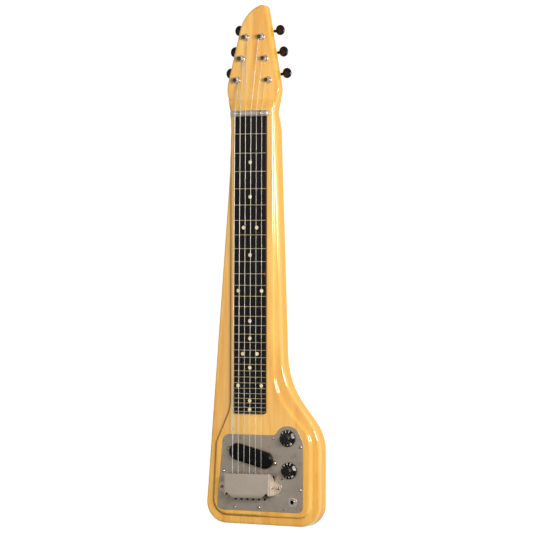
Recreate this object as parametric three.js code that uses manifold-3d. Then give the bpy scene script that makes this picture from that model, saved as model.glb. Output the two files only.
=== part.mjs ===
// Six-string lap steel guitar, lying on its back. Millimetres.
// x runs to the treble side, y to the head and z out of the playing face.
// While it is built, y = 0 is the bridge line, x = 0 the middle string gap and z = 0 the back.

import * as THREE from 'three';
import { mergeVertices } from 'three/addons/utils/BufferGeometryUtils.js';
import Module from 'manifold-3d';

const wasm = await Module();
wasm.setup();

// Clearances
const seatGap = 0.3;
const runningGap = 0.35;
const boreGap = 0.3;
const overrun = 2;

// Strings: heavy to light, and how far apart they lie
const stringLength = 571.5;
const stringDiameters = [1.42, 1.12, 0.86, 0.66, 0.5, 0.44];
const stringCount = stringDiameters.length;
const nutSpacing = 9.16;
const bridgeSpacing = 9.75;
const holeSpacing = 9.9;
const nutStringLevel = 44.3;
const bridgeStringLevel = 47;
const stringSides = 6;
const bendReach = 1.6;
const bendSag = 0.45;

// Body levels above the back
const ledgeLevel = 28.5;
const plateauLevel = 32.5;
const headBackLevel = 8.5;
const headFaceLevel = 26.3;
const bodyEdge = 3.5;
const plateauRun = 5.5;
const plateauRise = 4;

// Body outline
const trebleReach = 114.4;
const bassReach = 79.8;
const tailTrebleLength = 68.4;
const tailBassLength = 65.4;
const tailRadius = 33;
const shoulderLength = 73.9;
const shoulderRadius = 72;
const boutLength = 153.2;
const boutRadius = 130;
const boutNeckHalf = 52;
const neckTrebleHalf = 38.6;
const neckBassHalf = 34.3;
const neckEndDrop = 26;
const neckEndRadius = 30;
const headHalf = 45;
const headLength = 172.7;
// Head corners from the treble waist round the tip: share of headHalf, of headLength, radius of headHalf.
const headShares = [
  [0.77, 0.009, 0.45],
  [0.99, 0.206, 0.67],
  [0.445, 1, 0.2],
  [-0.147, 0.935, 1.1],
  [-0.46, 0.817, 0.9],
  [-1.027, 0.229, 1],
  [-0.858, 0.015, 1.3],
];
const backRampStart = 30;
const backRampEnd = 14;
const faceRampStart = 6.5;
const faceRampEnd = 22;

// Raised centre of the body
const plateauTreble = 103.4;
const plateauBass = 67.5;
const plateauTail = 56;
const plateauBassTail = 54.2;
const plateauTrebleRadius = 22;
const plateauBassRadius = 27;
const plateauShoulder = 72.1;
const plateauShoulderRadius = 48;
const plateauBout = 139;
const plateauBoutRadius = 95;
const plateauNeckHalf = 41.4;
const plateauNutHalf = 37.6;
const plateauBassHip = 61.6;
const plateauHipLength = 61;
const plateauHipRadius = 15;
const plateauFlareLength = 115.2;
const plateauFlareRadius = 50;

// Fretboard: each fret lies a seventeenth of the rest of the string from the one before
const boardHalf = 26.6;
const boardThickness = 4;
const boardTail = 3.1;
const boardCorner = 3;
const fretCount = 29;
const fretShare = 17 / 18;
const fretWidth = 1.1;
const fretProud = 0.2;

// Nut
const nutHalfLength = 32.7;
const nutWidth = 9.4;
const nutRound = 3.8;
const nutBendShare = 0.65;
const nutScrewX = 18;

// Control plate
const plateThickness = 1;
const plateTreble = 89;
const plateHeadSide = 73.3;
const plateTail = 45.8;
const plateBassTail = 44.2;
const plateBassMargin = 9;
const plateBassTaper = 10.9;
const plateHeadCorner = 11;
const plateTailCorner = 9;
const plateTrebleCorner = 22;
const lobeRadius = 18.6;
const lobeBlend = 8;
// Screws of the plate: share of plateTreble, of plateHeadSide.
const plateScrewShares = [
  [-0.183, 0.939],
  [0.435, 0.937],
  [0.951, 0.757],
  [-0.512, 0.216],
  [0.952, -0.151],
  [-0.288, -0.542],
  [0.164, -0.547],
  [0.656, -0.555],
];
const plateScrewRadius = 2.2;
const plateScrewHeight = 1.3;
const spareHoleX = 53.8;
const spareHoleY = 5.3;
const spareHoleRadius = 1.3;

// Pockets under the control plate
const pocketFloor = 8;
const pickupPocketFloor = 16;
const pocketMargin = 2;
const channelWidth = 8;
const channelFloor = 20;
const stringHoleRadius = 2.25;

// Pickup
const pickupX = 2.5;
const pickupY = 40.3;
const pickupAngle = -15;
const pickupHalfLength = 37;
const pickupRadius = 13;
const pickupHeight = 8.2;
const pickupRound = 3.2;
const pickupWall = 1.6;
const flangeThickness = 0.8;
const flangeMargin = 0.9;
const flangeEarRadius = 4;
const coilRadius = 9.8;
const magnetWidth = 5;
const magnetBaseThickness = 1.6;
const pickupScrewHalf = 40.35;

// Wood screws
const screwHeadRadius = 2.6;
const screwHeadHeight = 1.8;
const screwShankRadius = 1.4;
const screwLength = 11;

// Bridge
const bridgeHalfLength = 27;
const bridgeFootHalf = 5;
const bridgeFootHeight = 2.5;
const bridgeRidgeHalf = 1.3;
const stringHoleY = 26.6;

// String anchor in the back
const anchorHalfLength = 31;
const anchorHalfWidth = 5;
const anchorThickness = 2.4;
const anchorDepth = 5;
const ballRadius = 1.9;
const ballHeight = 1.6;
const anchorHoleRadius = 1.2;

// Bridge cover
const coverX = 1.4;
const coverHalf = 39.5;
const coverHeight = 18;
const coverSheet = 1.2;
const coverBend = 4.5;
const coverHeadSide = 14.2;
const coverTailSide = 20.2;
const coverLip = 3;
const coverFlapRun = 3.9;
const coverFlapSlope = 0.49;
const coverFlapHalf = 23.8;
const coverNotch = 4.5;
const earReach = 8.5;
const earY = -8.7;
const earRadius = 5.4;
const earSpread = 11;
const wallCut = 13;

// Knobs, first the one nearer the head
const headKnobX = 63.3;
const headKnobY = 68.8;
const tailKnobX = 65.9;
const tailKnobY = 18.9;
const knobPlaces = [[headKnobX, headKnobY], [tailKnobX, tailKnobY]];
const skirtRadius = 13.2;
const skirtHeight = 2.2;
const fluteCount = 20;
const fluteDepth = 0.5;
const knobFootRadius = 9;
const knobTopRadius = 7.1;
const knobHeight = 15;
const knobLift = 0.6;
const knobHollowRadius = 6.5;
const knobHollowHeight = 4.6;
const knobBoreDepth = 12;

// Potentiometers
const potRadius = 11.6;
const potHeight = 9;
const bushingRadius = 3.6;
const bushingHeight = 3.6;
const potShaftRadius = 2.5;
const potShaftDepth = 6;
const potNutRadius = 5.8;
const potNutHeight = 2;

// Capacitor
const capacitorRadius = 4;
const capacitorLength = 15;
const capacitorY = 44;

// Jack
const jackX = 71.4;
const jackY = -29.7;
const jackBore = 3.25;
const jackBarrelRadius = 7.4;
const jackThreadRadius = 4.7;
const jackThreadHeight = 3.2;
const jackWall = 2;
const jackNutRadius = 7;
const jackNutHeight = 2.2;

// Tuners
const tunerSpread = 20.1;
const tunerRow = 85.4;
const tunerPitch = 34.1;
const stripAngle = 11.3;
const headLean = -1.4;
const postRadius = 3.15;
const postTop = 36.6;
const postHoleLevel = 34.6;
const postHoleRadius = 0.8;
const postChamfer = 0.5;
const ferruleFlangeRadius = 5.9;
const ferruleFlangeHeight = 1.5;
const ferruleSleeveRadius = 4.4;
const ferruleSleeveLength = 8;
const tunerSides = 12;

// Worm drive of the tuners
const gearTeeth = 14;
const gearPitchRadius = 5.1;
const wormPitchRadius = 2.35;
const toothDepth = 0.5;
const gearHalfThickness = 1.7;
const shaftLevel = 3.3;
const wormTurns = 3;
const wormRingsPerTurn = 5;
const wormSides = 8;
const shaftRadius = 1.5;
const stripThickness = 1.2;
const stripHalfWidth = 6.6;
const stripEndReach = 11;
const lugThickness = 1.2;
const lugHalfWidth = 2.9;
const lugFloor = 0.5;
const stripScrewRadius = 2.2;
const stripScrewHeight = 1.2;

// Tuner buttons
const buttonPlace = 23.3;
const buttonHalfWidth = 8.2;
const buttonHalfLength = 7.6;
const buttonHalfThickness = 2.9;
const buttonCollarRadius = 2.4;
const buttonCollarLength = 3;
const buttonBoreDepth = 6;

// String turns on the posts
const coilTurns = 2.25;
const coilSteps = 10;
const coilGap = 1.36;
const coilFloorGap = 0.9;
const gapStep = 0.25;

const degree = Math.PI / 180;
const plateTop = plateauLevel + plateThickness;
const boardTop = plateauLevel + boardThickness;

// Joins the shared corners of a geometry and hands it over as a solid.
function toSolid(geometry) {
  const bare = geometry.clone();
  bare.deleteAttribute('normal');
  bare.deleteAttribute('uv');
  const merged = mergeVertices(bare);
  return new wasm.Manifold(new wasm.Mesh({
    numProp: 3,
    vertProperties: merged.attributes.position.array,
    triVerts: Uint32Array.from(merged.index.array),
  }));
}

// Turns a solid back into a geometry.
function toGeometry(solid) {
  const mesh = solid.getMesh();
  const geometry = new THREE.BufferGeometry();
  geometry.setAttribute('position', new THREE.BufferAttribute(mesh.vertProperties, mesh.numProp));
  geometry.setIndex(new THREE.BufferAttribute(mesh.triVerts, 1));
  geometry.computeVertexNormals();
  return geometry;
}

// Joins geometries into one.
function join(...pieces) {
  return toGeometry(pieces.map(toSolid).reduce((whole, piece) => whole.add(piece)));
}

// Cuts every tool out of a geometry.
function cut(stock, ...tools) {
  return toGeometry(tools.map(toSolid).reduce((whole, tool) => whole.subtract(tool), toSolid(stock)));
}

// Keeps what two geometries share.
function common(first, second) {
  return toGeometry(toSolid(first).intersect(toSolid(second)));
}

// A closed outline whose corners, each x, y and radius, are rounded with arcs.
function roundedShape(corners) {
  const shape = new THREE.Shape();
  corners.forEach(([x, y, radius], index) => {
    const corner = new THREE.Vector2(x, y);
    const before = new THREE.Vector2(...corners.at(index - 1)).sub(corner).normalize();
    const after = new THREE.Vector2(...corners[(index + 1) % corners.length]).sub(corner).normalize();
    const half = before.angleTo(after) / 2;
    const reach = radius / Math.tan(half);
    const centre = before.clone().add(after).setLength(radius / Math.sin(half)).add(corner);
    const start = before.clone().multiplyScalar(reach).add(corner).sub(centre).angle();
    const end = after.clone().multiplyScalar(reach).add(corner).sub(centre).angle();
    shape.absarc(centre.x, centre.y, radius, start, end, before.cross(after) > 0);
  });
  shape.closePath();
  return shape;
}

// A bar outline with round ends along x.
function stadiumShape(halfLength, radius) {
  const shape = new THREE.Shape();
  shape.absarc(halfLength - radius, 0, radius, -Math.PI / 2, Math.PI / 2);
  shape.absarc(radius - halfLength, 0, radius, Math.PI / 2, Math.PI * 3 / 2);
  shape.closePath();
  return shape;
}

// A round hole whose flats clear the radius.
function roundHole(x, y, radius, sides = 12) {
  const reach = radius / Math.cos(Math.PI / sides);
  return new THREE.Path(Array.from({ length: sides }, (_, index) => {
    const angle = index * Math.PI * 2 / sides;
    return new THREE.Vector2(x + reach * Math.cos(angle), y + reach * Math.sin(angle));
  }));
}

// An outline raised from bottom to top with plain edges.
function raise(shape, bottom, top, curveSegments = 3) {
  const options = { depth: top - bottom, bevelEnabled: false, curveSegments };
  return new THREE.ExtrudeGeometry(shape, options).translate(0, 0, bottom);
}

// An outline raised from bottom to top with rounded edges of a given run and rise.
function raiseRounded(shape, bottom, top, run, rise, curveSegments = 3, bevelSegments = 2) {
  const geometry = new THREE.ExtrudeGeometry(shape, {
    depth: top - bottom - 2 * rise,
    bevelSize: run,
    bevelOffset: -run,
    bevelThickness: rise,
    bevelSegments,
    curveSegments,
  });
  return geometry.translate(0, 0, bottom + rise);
}

// A block between two corners.
function block(x0, x1, y0, y1, z0, z1) {
  const geometry = new THREE.BoxGeometry(x1 - x0, y1 - y0, z1 - z0);
  return geometry.translate((x0 + x1) / 2, (y0 + y1) / 2, (z0 + z1) / 2);
}

// An upright round bar.
function pillar(x, y, radius, bottom, top, sides = 12) {
  const geometry = new THREE.CylinderGeometry(radius, radius, top - bottom, sides);
  return geometry.rotateX(Math.PI / 2).translate(x, y, (bottom + top) / 2);
}

// A turned piece about an upright axis, from points of radius and level that run upwards outside.
function turned(profile, sides = 12) {
  const points = profile.map(([radius, level]) => new THREE.Vector2(radius, level));
  return new THREE.LatheGeometry(points, sides).rotateX(Math.PI / 2);
}

// A round-head wood screw whose head sits on a level.
function woodScrew(x, y, level) {
  const shankTip = level - screwLength;
  const profile = [
    [0, shankTip],
    [screwShankRadius, shankTip + screwShankRadius * 2],
    [screwShankRadius, level],
    [screwHeadRadius, level],
    [screwHeadRadius * 0.92, level + screwHeadHeight * 0.5],
    [screwHeadRadius * 0.55, level + screwHeadHeight * 0.9],
    [0, level + screwHeadHeight],
  ];
  return turned(profile, 10).translate(x, y, 0);
}

// The hole that a wood screw takes.
function screwHole(x, y, level) {
  return pillar(x, y, screwShankRadius + boreGap, level - screwLength - seatGap, level + overrun, 8);
}

// Where a bar of the pickup's slant lies at a distance along it from its middle.
function alongPickup(distance) {
  const angle = pickupAngle * degree;
  return [pickupX + distance * Math.cos(angle), pickupY + distance * Math.sin(angle)];
}

// Brings a geometry drawn along x onto the pickup's slant.
function slant(geometry) {
  return geometry.rotateZ(pickupAngle * degree).translate(pickupX, pickupY, 0);
}

// The two strips of tuners, bass side and treble side, each with three posts from the nut to the tip.
const strips = [-1, 1].map((side) => {
  const along = (90 + side * stripAngle + headLean) * degree;
  const middle = new THREE.Vector2(side * tunerSpread, stringLength + tunerRow);
  const step = new THREE.Vector2(Math.cos(along), Math.sin(along)).multiplyScalar(tunerPitch);
  const posts = [-1, 0, 1].map((row) => middle.clone().addScaledVector(step, row));
  return { side, middle, posts, turn: along - side * Math.PI / 2 };
});

// The outline of the body and head.
function bodyShape() {
  const head = headShares.map(([across, along, radius]) => [
    across * headHalf,
    stringLength + along * headLength,
    radius * headHalf,
  ]);
  return roundedShape([
    [-neckBassHalf, stringLength - neckEndDrop, neckEndRadius],
    [-bassReach, -tailBassLength, tailRadius],
    [trebleReach, -tailTrebleLength, tailRadius],
    [trebleReach, shoulderLength, shoulderRadius],
    [boutNeckHalf, boutLength, boutRadius],
    [neckTrebleHalf, stringLength - neckEndDrop, neckEndRadius],
    ...head,
  ]);
}

// The outline of the raised centre at its foot.
function plateauShape() {
  const end = stringLength + faceRampEnd + plateauHipRadius;
  return roundedShape([
    [-plateauNutHalf, end, plateauHipRadius],
    [-plateauNutHalf, plateauFlareLength, plateauFlareRadius],
    [-plateauBassHip, plateauHipLength, plateauHipRadius],
    [-plateauBass, -plateauBassTail, plateauBassRadius],
    [plateauTreble, -plateauTail, plateauTrebleRadius],
    [plateauTreble, plateauShoulder, plateauShoulderRadius],
    [plateauNeckHalf, plateauBout, plateauBoutRadius],
    [plateauNutHalf, end, plateauHipRadius],
  ]);
}

// The side view of the part below the nut, which ramps to the thinner head at both faces.
function trunkGuard() {
  const profile = new THREE.Shape();
  const start = -tailTrebleLength - overrun;
  profile.moveTo(start, 0);
  profile.lineTo(stringLength - backRampStart, 0);
  profile.lineTo(stringLength + backRampEnd, headBackLevel);
  profile.lineTo(stringLength + faceRampEnd, headBackLevel + seatGap);
  profile.lineTo(stringLength + faceRampEnd, headFaceLevel);
  profile.lineTo(stringLength + faceRampStart, plateauLevel);
  profile.lineTo(start, plateauLevel);
  profile.closePath();
  const reach = 2 * trebleReach;
  const geometry = new THREE.ExtrudeGeometry(profile, { depth: 2 * reach, bevelEnabled: false });
  return geometry.rotateX(Math.PI / 2).rotateZ(Math.PI / 2).translate(-reach, 0, 0);
}

// The routed pocket below the two knobs and the jack.
function controlPocketShape() {
  const [first, second] = knobPlaces;
  const radius = potRadius + pocketMargin;
  const bass = first[0] - radius;
  const treble = jackX + jackBarrelRadius + pocketMargin;
  return roundedShape([
    [bass, first[1] + radius, radius * 0.95],
    [bass, second[1] - radius, radius * 0.6],
    [jackX - jackBarrelRadius - pocketMargin, jackY - jackBarrelRadius - pocketMargin, radius * 0.3],
    [treble, jackY - jackBarrelRadius - pocketMargin, radius * 0.4],
    [treble, second[1] + radius, radius],
    [first[0] + radius, first[1] + radius, radius * 0.95],
  ]);
}

function bodyGeometry() {
  const shape = bodyShape();
  const slab = raiseRounded(shape, 0, ledgeLevel, bodyEdge, bodyEdge);
  const hill = raiseRounded(plateauShape(), pocketFloor, plateauLevel, plateauRun, plateauRise);
  const upper = common(hill, raise(shape, ledgeLevel - plateauRise, boardTop));
  const trunk = common(join(slab, upper), trunkGuard());
  const headZone = block(
    -trebleReach, trebleReach,
    stringLength - neckEndDrop, stringLength + headLength + overrun,
    0, boardTop,
  );
  const head = common(raiseRounded(shape, headBackLevel, headFaceLevel, bodyEdge, bodyEdge), headZone);
  return cut(join(trunk, head), ...bodyCuts());
}

// Everything that is routed or drilled into the wood.
function bodyCuts() {
  const top = plateauLevel + overrun;
  const pickupPocket = coilBlock(pocketMargin, pickupPocketFloor, top);
  const channelY = knobPlaces[0][1] - potRadius * 2;
  const [channelStart] = alongPickup(pickupHalfLength - pickupRadius);
  const channel = block(
    channelStart, knobPlaces[1][0],
    channelY - channelWidth / 2, channelY + channelWidth / 2,
    channelFloor, top,
  );
  const anchorRecess = block(
    -anchorHalfLength - boreGap, anchorHalfLength + boreGap,
    -stringHoleY - anchorHalfWidth - boreGap, -stringHoleY + anchorHalfWidth + boreGap,
    -overrun, anchorDepth,
  );
  const stringBores = places(holeSpacing).map((x) => (
    pillar(x, -stringHoleY, stringHoleRadius, anchorDepth - overrun, top, 8)
  ));
  const postBores = strips.flatMap(({ posts }) => posts.map(({ x, y }) => (
    pillar(x, y, ferruleSleeveRadius + boreGap, 0, top, tunerSides)
  )));
  const screws = [
    ...pickupScrewPlaces().map(([x, y]) => screwHole(x, y, plateTop + flangeThickness)),
    ...coverScrewPlaces().map(([x, y]) => screwHole(x, y, plateTop + coverSheet)),
    ...nutScrewPlaces().map(([x, y]) => screwHole(x, y, nutScrewLevel())),
  ];
  return [
    slant(pickupPocket),
    raise(controlPocketShape(), pocketFloor, top),
    channel,
    anchorRecess,
    ...stringBores,
    ...postBores,
    ...screws,
  ];
}

// The six places across the strings at a given spacing, from bass to treble.
function places(spacing) {
  return stringDiameters.map((_, index) => (index - (stringCount - 1) / 2) * spacing);
}

function pickupScrewPlaces() {
  return [alongPickup(-pickupScrewHalf), alongPickup(pickupScrewHalf)];
}

function coverScrewPlaces() {
  const span = coverHalf + earReach;
  return [[-span, earY], [span, earY]];
}

function nutScrewPlaces() {
  return [[-nutScrewX, stringLength], [nutScrewX, stringLength]];
}

// The level of the nut's top, just below the thickest string.
function nutTop() {
  return nutStringLevel - stringDiameters[0] / 2 - seatGap;
}

// The level on which the nut's screw heads sit, sunk below its top.
function nutScrewLevel() {
  return nutTop() - screwHeadHeight - seatGap;
}

// How far from the bridge line a fret lies.
function fretPlace(number) {
  return stringLength * fretShare ** number;
}

function fretboardGeometry() {
  const start = fretPlace(fretCount) - boardTail;
  const end = stringLength - nutWidth / 2 - seatGap;
  const shape = new THREE.Shape();
  shape.moveTo(boardHalf, end);
  shape.lineTo(-boardHalf, end);
  shape.absarc(-boardHalf + boardCorner, start + boardCorner, boardCorner, Math.PI, Math.PI * 1.5);
  shape.absarc(boardHalf - boardCorner, start + boardCorner, boardCorner, Math.PI * 1.5, Math.PI * 2);
  shape.closePath();
  const frets = Array.from({ length: fretCount }, (_, index) => fretPlace(index + 1)).map((y) => block(
    -boardHalf, boardHalf,
    y - fretWidth / 2, y + fretWidth / 2,
    boardTop - fretProud, boardTop + fretProud,
  ));
  return join(raise(shape, plateauLevel, boardTop, 2), ...frets);
}

function nutGeometry() {
  const bar = raiseRounded(
    stadiumShape(nutHalfLength, nutWidth / 2), plateauLevel - nutRound, nutTop(), nutRound, nutRound, 4, 3,
  );
  const foot = block(
    -nutHalfLength - overrun, nutHalfLength + overrun,
    -nutWidth, nutWidth,
    plateauLevel - nutRound - overrun, plateauLevel,
  );
  const holes = [-nutScrewX, nutScrewX].flatMap((x) => [
    pillar(x, 0, screwHeadRadius + boreGap, nutScrewLevel(), nutTop() + overrun, 10),
    pillar(x, 0, screwShankRadius + boreGap, plateauLevel - overrun, nutTop(), 8),
  ]);
  return cut(bar, foot, ...holes).translate(0, stringLength, 0);
}

// The plate's outline follows its knob lobe.
function plateShape() {
  const [lobeX, lobeY] = knobPlaces[0];
  const bass = coverHalf + earReach + plateBassMargin;
  const shape = roundedShape([
    [-bass + plateBassTaper, plateHeadSide, plateHeadCorner],
    [-bass, -plateBassTail, plateTailCorner],
    [plateTreble, -plateTail, plateTailCorner],
    [plateTreble, lobeY - lobeRadius * 0.31, plateTrebleCorner],
    [lobeX + lobeRadius * 0.65, lobeY + lobeRadius, lobeRadius],
    [lobeX - lobeRadius * 0.69, lobeY + lobeRadius, lobeRadius],
    [lobeX - lobeRadius * 1.12, plateHeadSide, lobeBlend],
  ]);
  shape.holes = [
    ...knobPlaces.map(([x, y]) => roundHole(x, y, bushingRadius + boreGap)),
    roundHole(jackX, jackY, jackThreadRadius + boreGap),
    roundHole(spareHoleX, spareHoleY, spareHoleRadius, 8),
    ...places(holeSpacing).map((x) => roundHole(x, -stringHoleY, stringHoleRadius, 10)),
    ...[...pickupScrewPlaces(), ...coverScrewPlaces()].map(([x, y]) => (
      roundHole(x, y, screwShankRadius + boreGap, 8)
    )),
  ];
  return shape;
}

function controlPlateGeometry() {
  const plate = raise(plateShape(), plateauLevel, plateTop, 4);
  const opening = coilBlock(boreGap, plateauLevel - overrun, plateTop + overrun);
  const heads = plateScrewShares.map(([across, along]) => turned([
    [0, plateauLevel + plateThickness / 2],
    [plateScrewRadius, plateauLevel + plateThickness / 2],
    [plateScrewRadius, plateTop + plateScrewHeight * 0.3],
    [plateScrewRadius * 0.7, plateTop + plateScrewHeight * 0.85],
    [0, plateTop + plateScrewHeight],
  ], 8).translate(across * plateTreble, along * plateHeadSide, 0));
  return join(cut(plate, slant(opening)), ...heads);
}

// The black cap of the pickup, open below.
function pickupCoverGeometry() {
  const bottom = plateTop + flangeThickness;
  const top = plateTop + pickupHeight;
  const cap = raiseRounded(
    stadiumShape(pickupHalfLength, pickupRadius), bottom - pickupRound, top, pickupRound, pickupRound, 5, 3,
  );
  const foot = block(
    -pickupHalfLength * 2, pickupHalfLength * 2,
    -pickupRadius * 2, pickupRadius * 2,
    bottom - pickupRound * 2, bottom,
  );
  const innerShape = stadiumShape(pickupHalfLength - pickupWall, pickupRadius - pickupWall);
  const inside = raise(innerShape, bottom - overrun, top - pickupRound, 5);
  return slant(cut(cap, foot, inside));
}

// The thin metal flange below the cap, with an ear for each screw.
function pickupFlangeGeometry() {
  const bottom = plateTop;
  const top = plateTop + flangeThickness;
  const ends = [-pickupScrewHalf, pickupScrewHalf];
  const rim = raise(
    stadiumShape(pickupHalfLength + flangeMargin, pickupRadius + flangeMargin), bottom, top, 5,
  );
  const ears = ends.map((x) => pillar(x, 0, flangeEarRadius, bottom, top, 14));
  const opening = coilBlock(boreGap, bottom - overrun, top + overrun);
  const holes = ends.map((x) => (
    pillar(x, 0, screwShankRadius + boreGap, bottom - overrun, top + overrun, 8)
  ));
  return slant(cut(join(rim, ...ears), opening, ...holes));
}

// The coil's footprint, widened by a margin, from bottom to top.
function coilBlock(margin, bottom, top) {
  const radius = coilRadius + margin;
  return raise(stadiumShape(pickupHalfLength - pickupRadius + radius, radius), bottom, top, 4);
}

// The coil, wound round a slot for the magnet.
function pickupCoilGeometry() {
  const bottom = pickupPocketFloor + magnetBaseThickness;
  const top = plateTop + pickupHeight - pickupRound - seatGap;
  const coil = coilBlock(0, bottom, top);
  const half = pickupHalfLength - pickupRadius;
  const slot = block(
    -half - boreGap, half + boreGap,
    -magnetWidth / 2 - boreGap, magnetWidth / 2 + boreGap,
    bottom - overrun, top + overrun,
  );
  return slant(cut(coil, slot));
}

// The magnet bar on its base plate.
function pickupMagnetGeometry() {
  const half = pickupHalfLength - pickupRadius;
  const top = plateTop + pickupHeight - pickupRound - seatGap;
  const base = coilBlock(0, pickupPocketFloor, pickupPocketFloor + magnetBaseThickness);
  const bar = block(-half, half, -magnetWidth / 2, magnetWidth / 2, pickupPocketFloor, top);
  return slant(join(base, bar));
}

// The saddle: a foot with a ridge that tapers to the string line.
function bridgeGeometry() {
  const foot = plateTop;
  const ridge = bridgeStringLevel - stringDiameters[0] / 2 - bendSag - seatGap / 2;
  const profile = new THREE.Shape();
  profile.moveTo(-bridgeFootHalf, foot);
  profile.lineTo(bridgeFootHalf, foot);
  profile.lineTo(bridgeFootHalf, foot + bridgeFootHeight);
  profile.lineTo(bridgeRidgeHalf, ridge - bridgeRidgeHalf);
  profile.absarc(0, ridge - bridgeRidgeHalf, bridgeRidgeHalf, 0, Math.PI);
  profile.lineTo(-bridgeFootHalf, foot + bridgeFootHeight);
  profile.closePath();
  const geometry = new THREE.ExtrudeGeometry(profile, {
    depth: 2 * bridgeHalfLength, bevelEnabled: false, curveSegments: 3,
  });
  return geometry.rotateX(Math.PI / 2).rotateZ(Math.PI / 2).translate(-bridgeHalfLength, 0, 0);
}

// The bar in the back that the strings hang from.
function anchorGeometry() {
  const top = anchorDepth;
  const bar = block(
    -anchorHalfLength, anchorHalfLength,
    -stringHoleY - anchorHalfWidth, -stringHoleY + anchorHalfWidth,
    top - anchorThickness, top,
  );
  const holes = places(holeSpacing).map((x) => (
    pillar(x, -stringHoleY, anchorHoleRadius, top - anchorThickness - overrun, top + overrun, 6)
  ));
  return cut(bar, ...holes);
}

// The cover's sheet seen along the strings: a channel with two bends.
function coverChannelShape() {
  const foot = plateTop;
  const top = plateTop + coverHeight;
  const inner = coverBend - coverSheet;
  const shape = new THREE.Shape();
  shape.moveTo(-coverHalf, foot);
  shape.absarc(-coverHalf + coverBend, top - coverBend, coverBend, Math.PI, Math.PI / 2, true);
  shape.absarc(coverHalf - coverBend, top - coverBend, coverBend, Math.PI / 2, 0, true);
  shape.lineTo(coverHalf, foot);
  shape.lineTo(coverHalf - coverSheet, foot);
  shape.absarc(coverHalf - coverBend, top - coverBend, inner, 0, Math.PI / 2);
  shape.absarc(-coverHalf + coverBend, top - coverBend, inner, Math.PI / 2, Math.PI);
  shape.lineTo(-coverHalf + coverSheet, foot);
  shape.closePath();
  return shape;
}

// What the side walls lose: a curve on the head side and a straight end on the tail side.
function coverWallCutShape() {
  const foot = plateTop;
  const top = plateTop + coverHeight;
  const shape = new THREE.Shape();
  shape.moveTo(coverHeadSide + overrun, foot - overrun);
  shape.lineTo(coverHeadSide + overrun, top - coverLip);
  shape.lineTo(coverHeadSide, top - coverLip);
  shape.quadraticCurveTo(
    coverHeadSide - wallCut * 0.35, foot + coverHeight * 0.25,
    coverHeadSide - wallCut, foot,
  );
  shape.lineTo(coverHeadSide - wallCut, foot - overrun);
  shape.closePath();
  return shape;
}

// The sloping tail flap, which narrows away from the notches on both its sides.
function coverFlapGeometry() {
  const top = plateTop + coverHeight;
  const reach = coverFlapRun + overrun;
  const drop = reach * coverFlapSlope;
  const side = new THREE.Shape();
  side.moveTo(-coverTailSide + overrun, top);
  side.lineTo(-coverTailSide, top);
  side.lineTo(-coverTailSide - reach, top - drop);
  side.lineTo(-coverTailSide - reach, top - drop - coverSheet);
  side.lineTo(-coverTailSide, top - coverSheet);
  side.lineTo(-coverTailSide + overrun, top - coverSheet);
  side.closePath();
  const depth = 2 * coverHalf;
  const strip = new THREE.ExtrudeGeometry(side, { depth, bevelEnabled: false });
  strip.rotateX(Math.PI / 2).rotateZ(Math.PI / 2).translate(-coverHalf, 0, 0);
  const plan = new THREE.Shape();
  plan.moveTo(-coverHalf + coverNotch * 1.3, -coverTailSide + coverNotch);
  plan.lineTo(-coverFlapHalf, -coverTailSide - coverFlapRun);
  plan.lineTo(coverFlapHalf, -coverTailSide - coverFlapRun);
  plan.lineTo(coverHalf - coverNotch * 1.3, -coverTailSide + coverNotch);
  plan.closePath();
  return common(strip, raise(plan, plateTop, top + overrun));
}

function bridgeCoverGeometry() {
  const top = plateTop + coverHeight;
  const length = coverHeadSide + coverTailSide;
  const channel = new THREE.ExtrudeGeometry(coverChannelShape(), {
    depth: length, bevelEnabled: false, curveSegments: 3,
  });
  channel.rotateX(Math.PI / 2).translate(0, coverHeadSide, 0);
  const wallCutter = new THREE.ExtrudeGeometry(coverWallCutShape(), {
    depth: 2 * coverHalf + 2 * overrun, bevelEnabled: false, curveSegments: 5,
  });
  wallCutter.rotateX(Math.PI / 2).rotateZ(Math.PI / 2).translate(-coverHalf - overrun, 0, 0);
  const notches = [-1, 1].map((side) => {
    const notch = new THREE.Shape();
    notch.moveTo(side * (coverHalf - coverNotch * 1.3), -coverTailSide + coverNotch);
    notch.lineTo(side * (coverHalf - coverNotch * 0.2), -coverTailSide - overrun);
    notch.lineTo(side * coverFlapHalf, -coverTailSide - coverFlapRun);
    notch.closePath();
    return raise(notch, plateTop + coverSheet, top + overrun);
  });
  const shell = join(cut(channel, wallCutter, ...notches), coverFlapGeometry()).translate(coverX, 0, 0);
  const wallFoot = coverHeadSide - wallCut;
  const ears = [-1, 1].map((side) => {
    const inner = side * (coverHalf - coverSheet) + coverX;
    const tip = side * (coverHalf + earReach + earRadius);
    const tab = new THREE.Shape();
    tab.moveTo(inner, earY - earSpread);
    tab.quadraticCurveTo(tip, earY - earSpread * 0.8, tip, earY);
    tab.quadraticCurveTo(tip, wallFoot - earSpread * 0.1, inner, wallFoot);
    tab.closePath();
    return raise(tab, plateTop, plateTop + coverSheet, 4);
  });
  const holes = coverScrewPlaces().map(([x, y]) => (
    pillar(x, y, screwShankRadius + boreGap, plateTop - overrun, plateTop + coverSheet + overrun, 8)
  ));
  return cut(join(shell, ...ears), ...holes);
}

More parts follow.
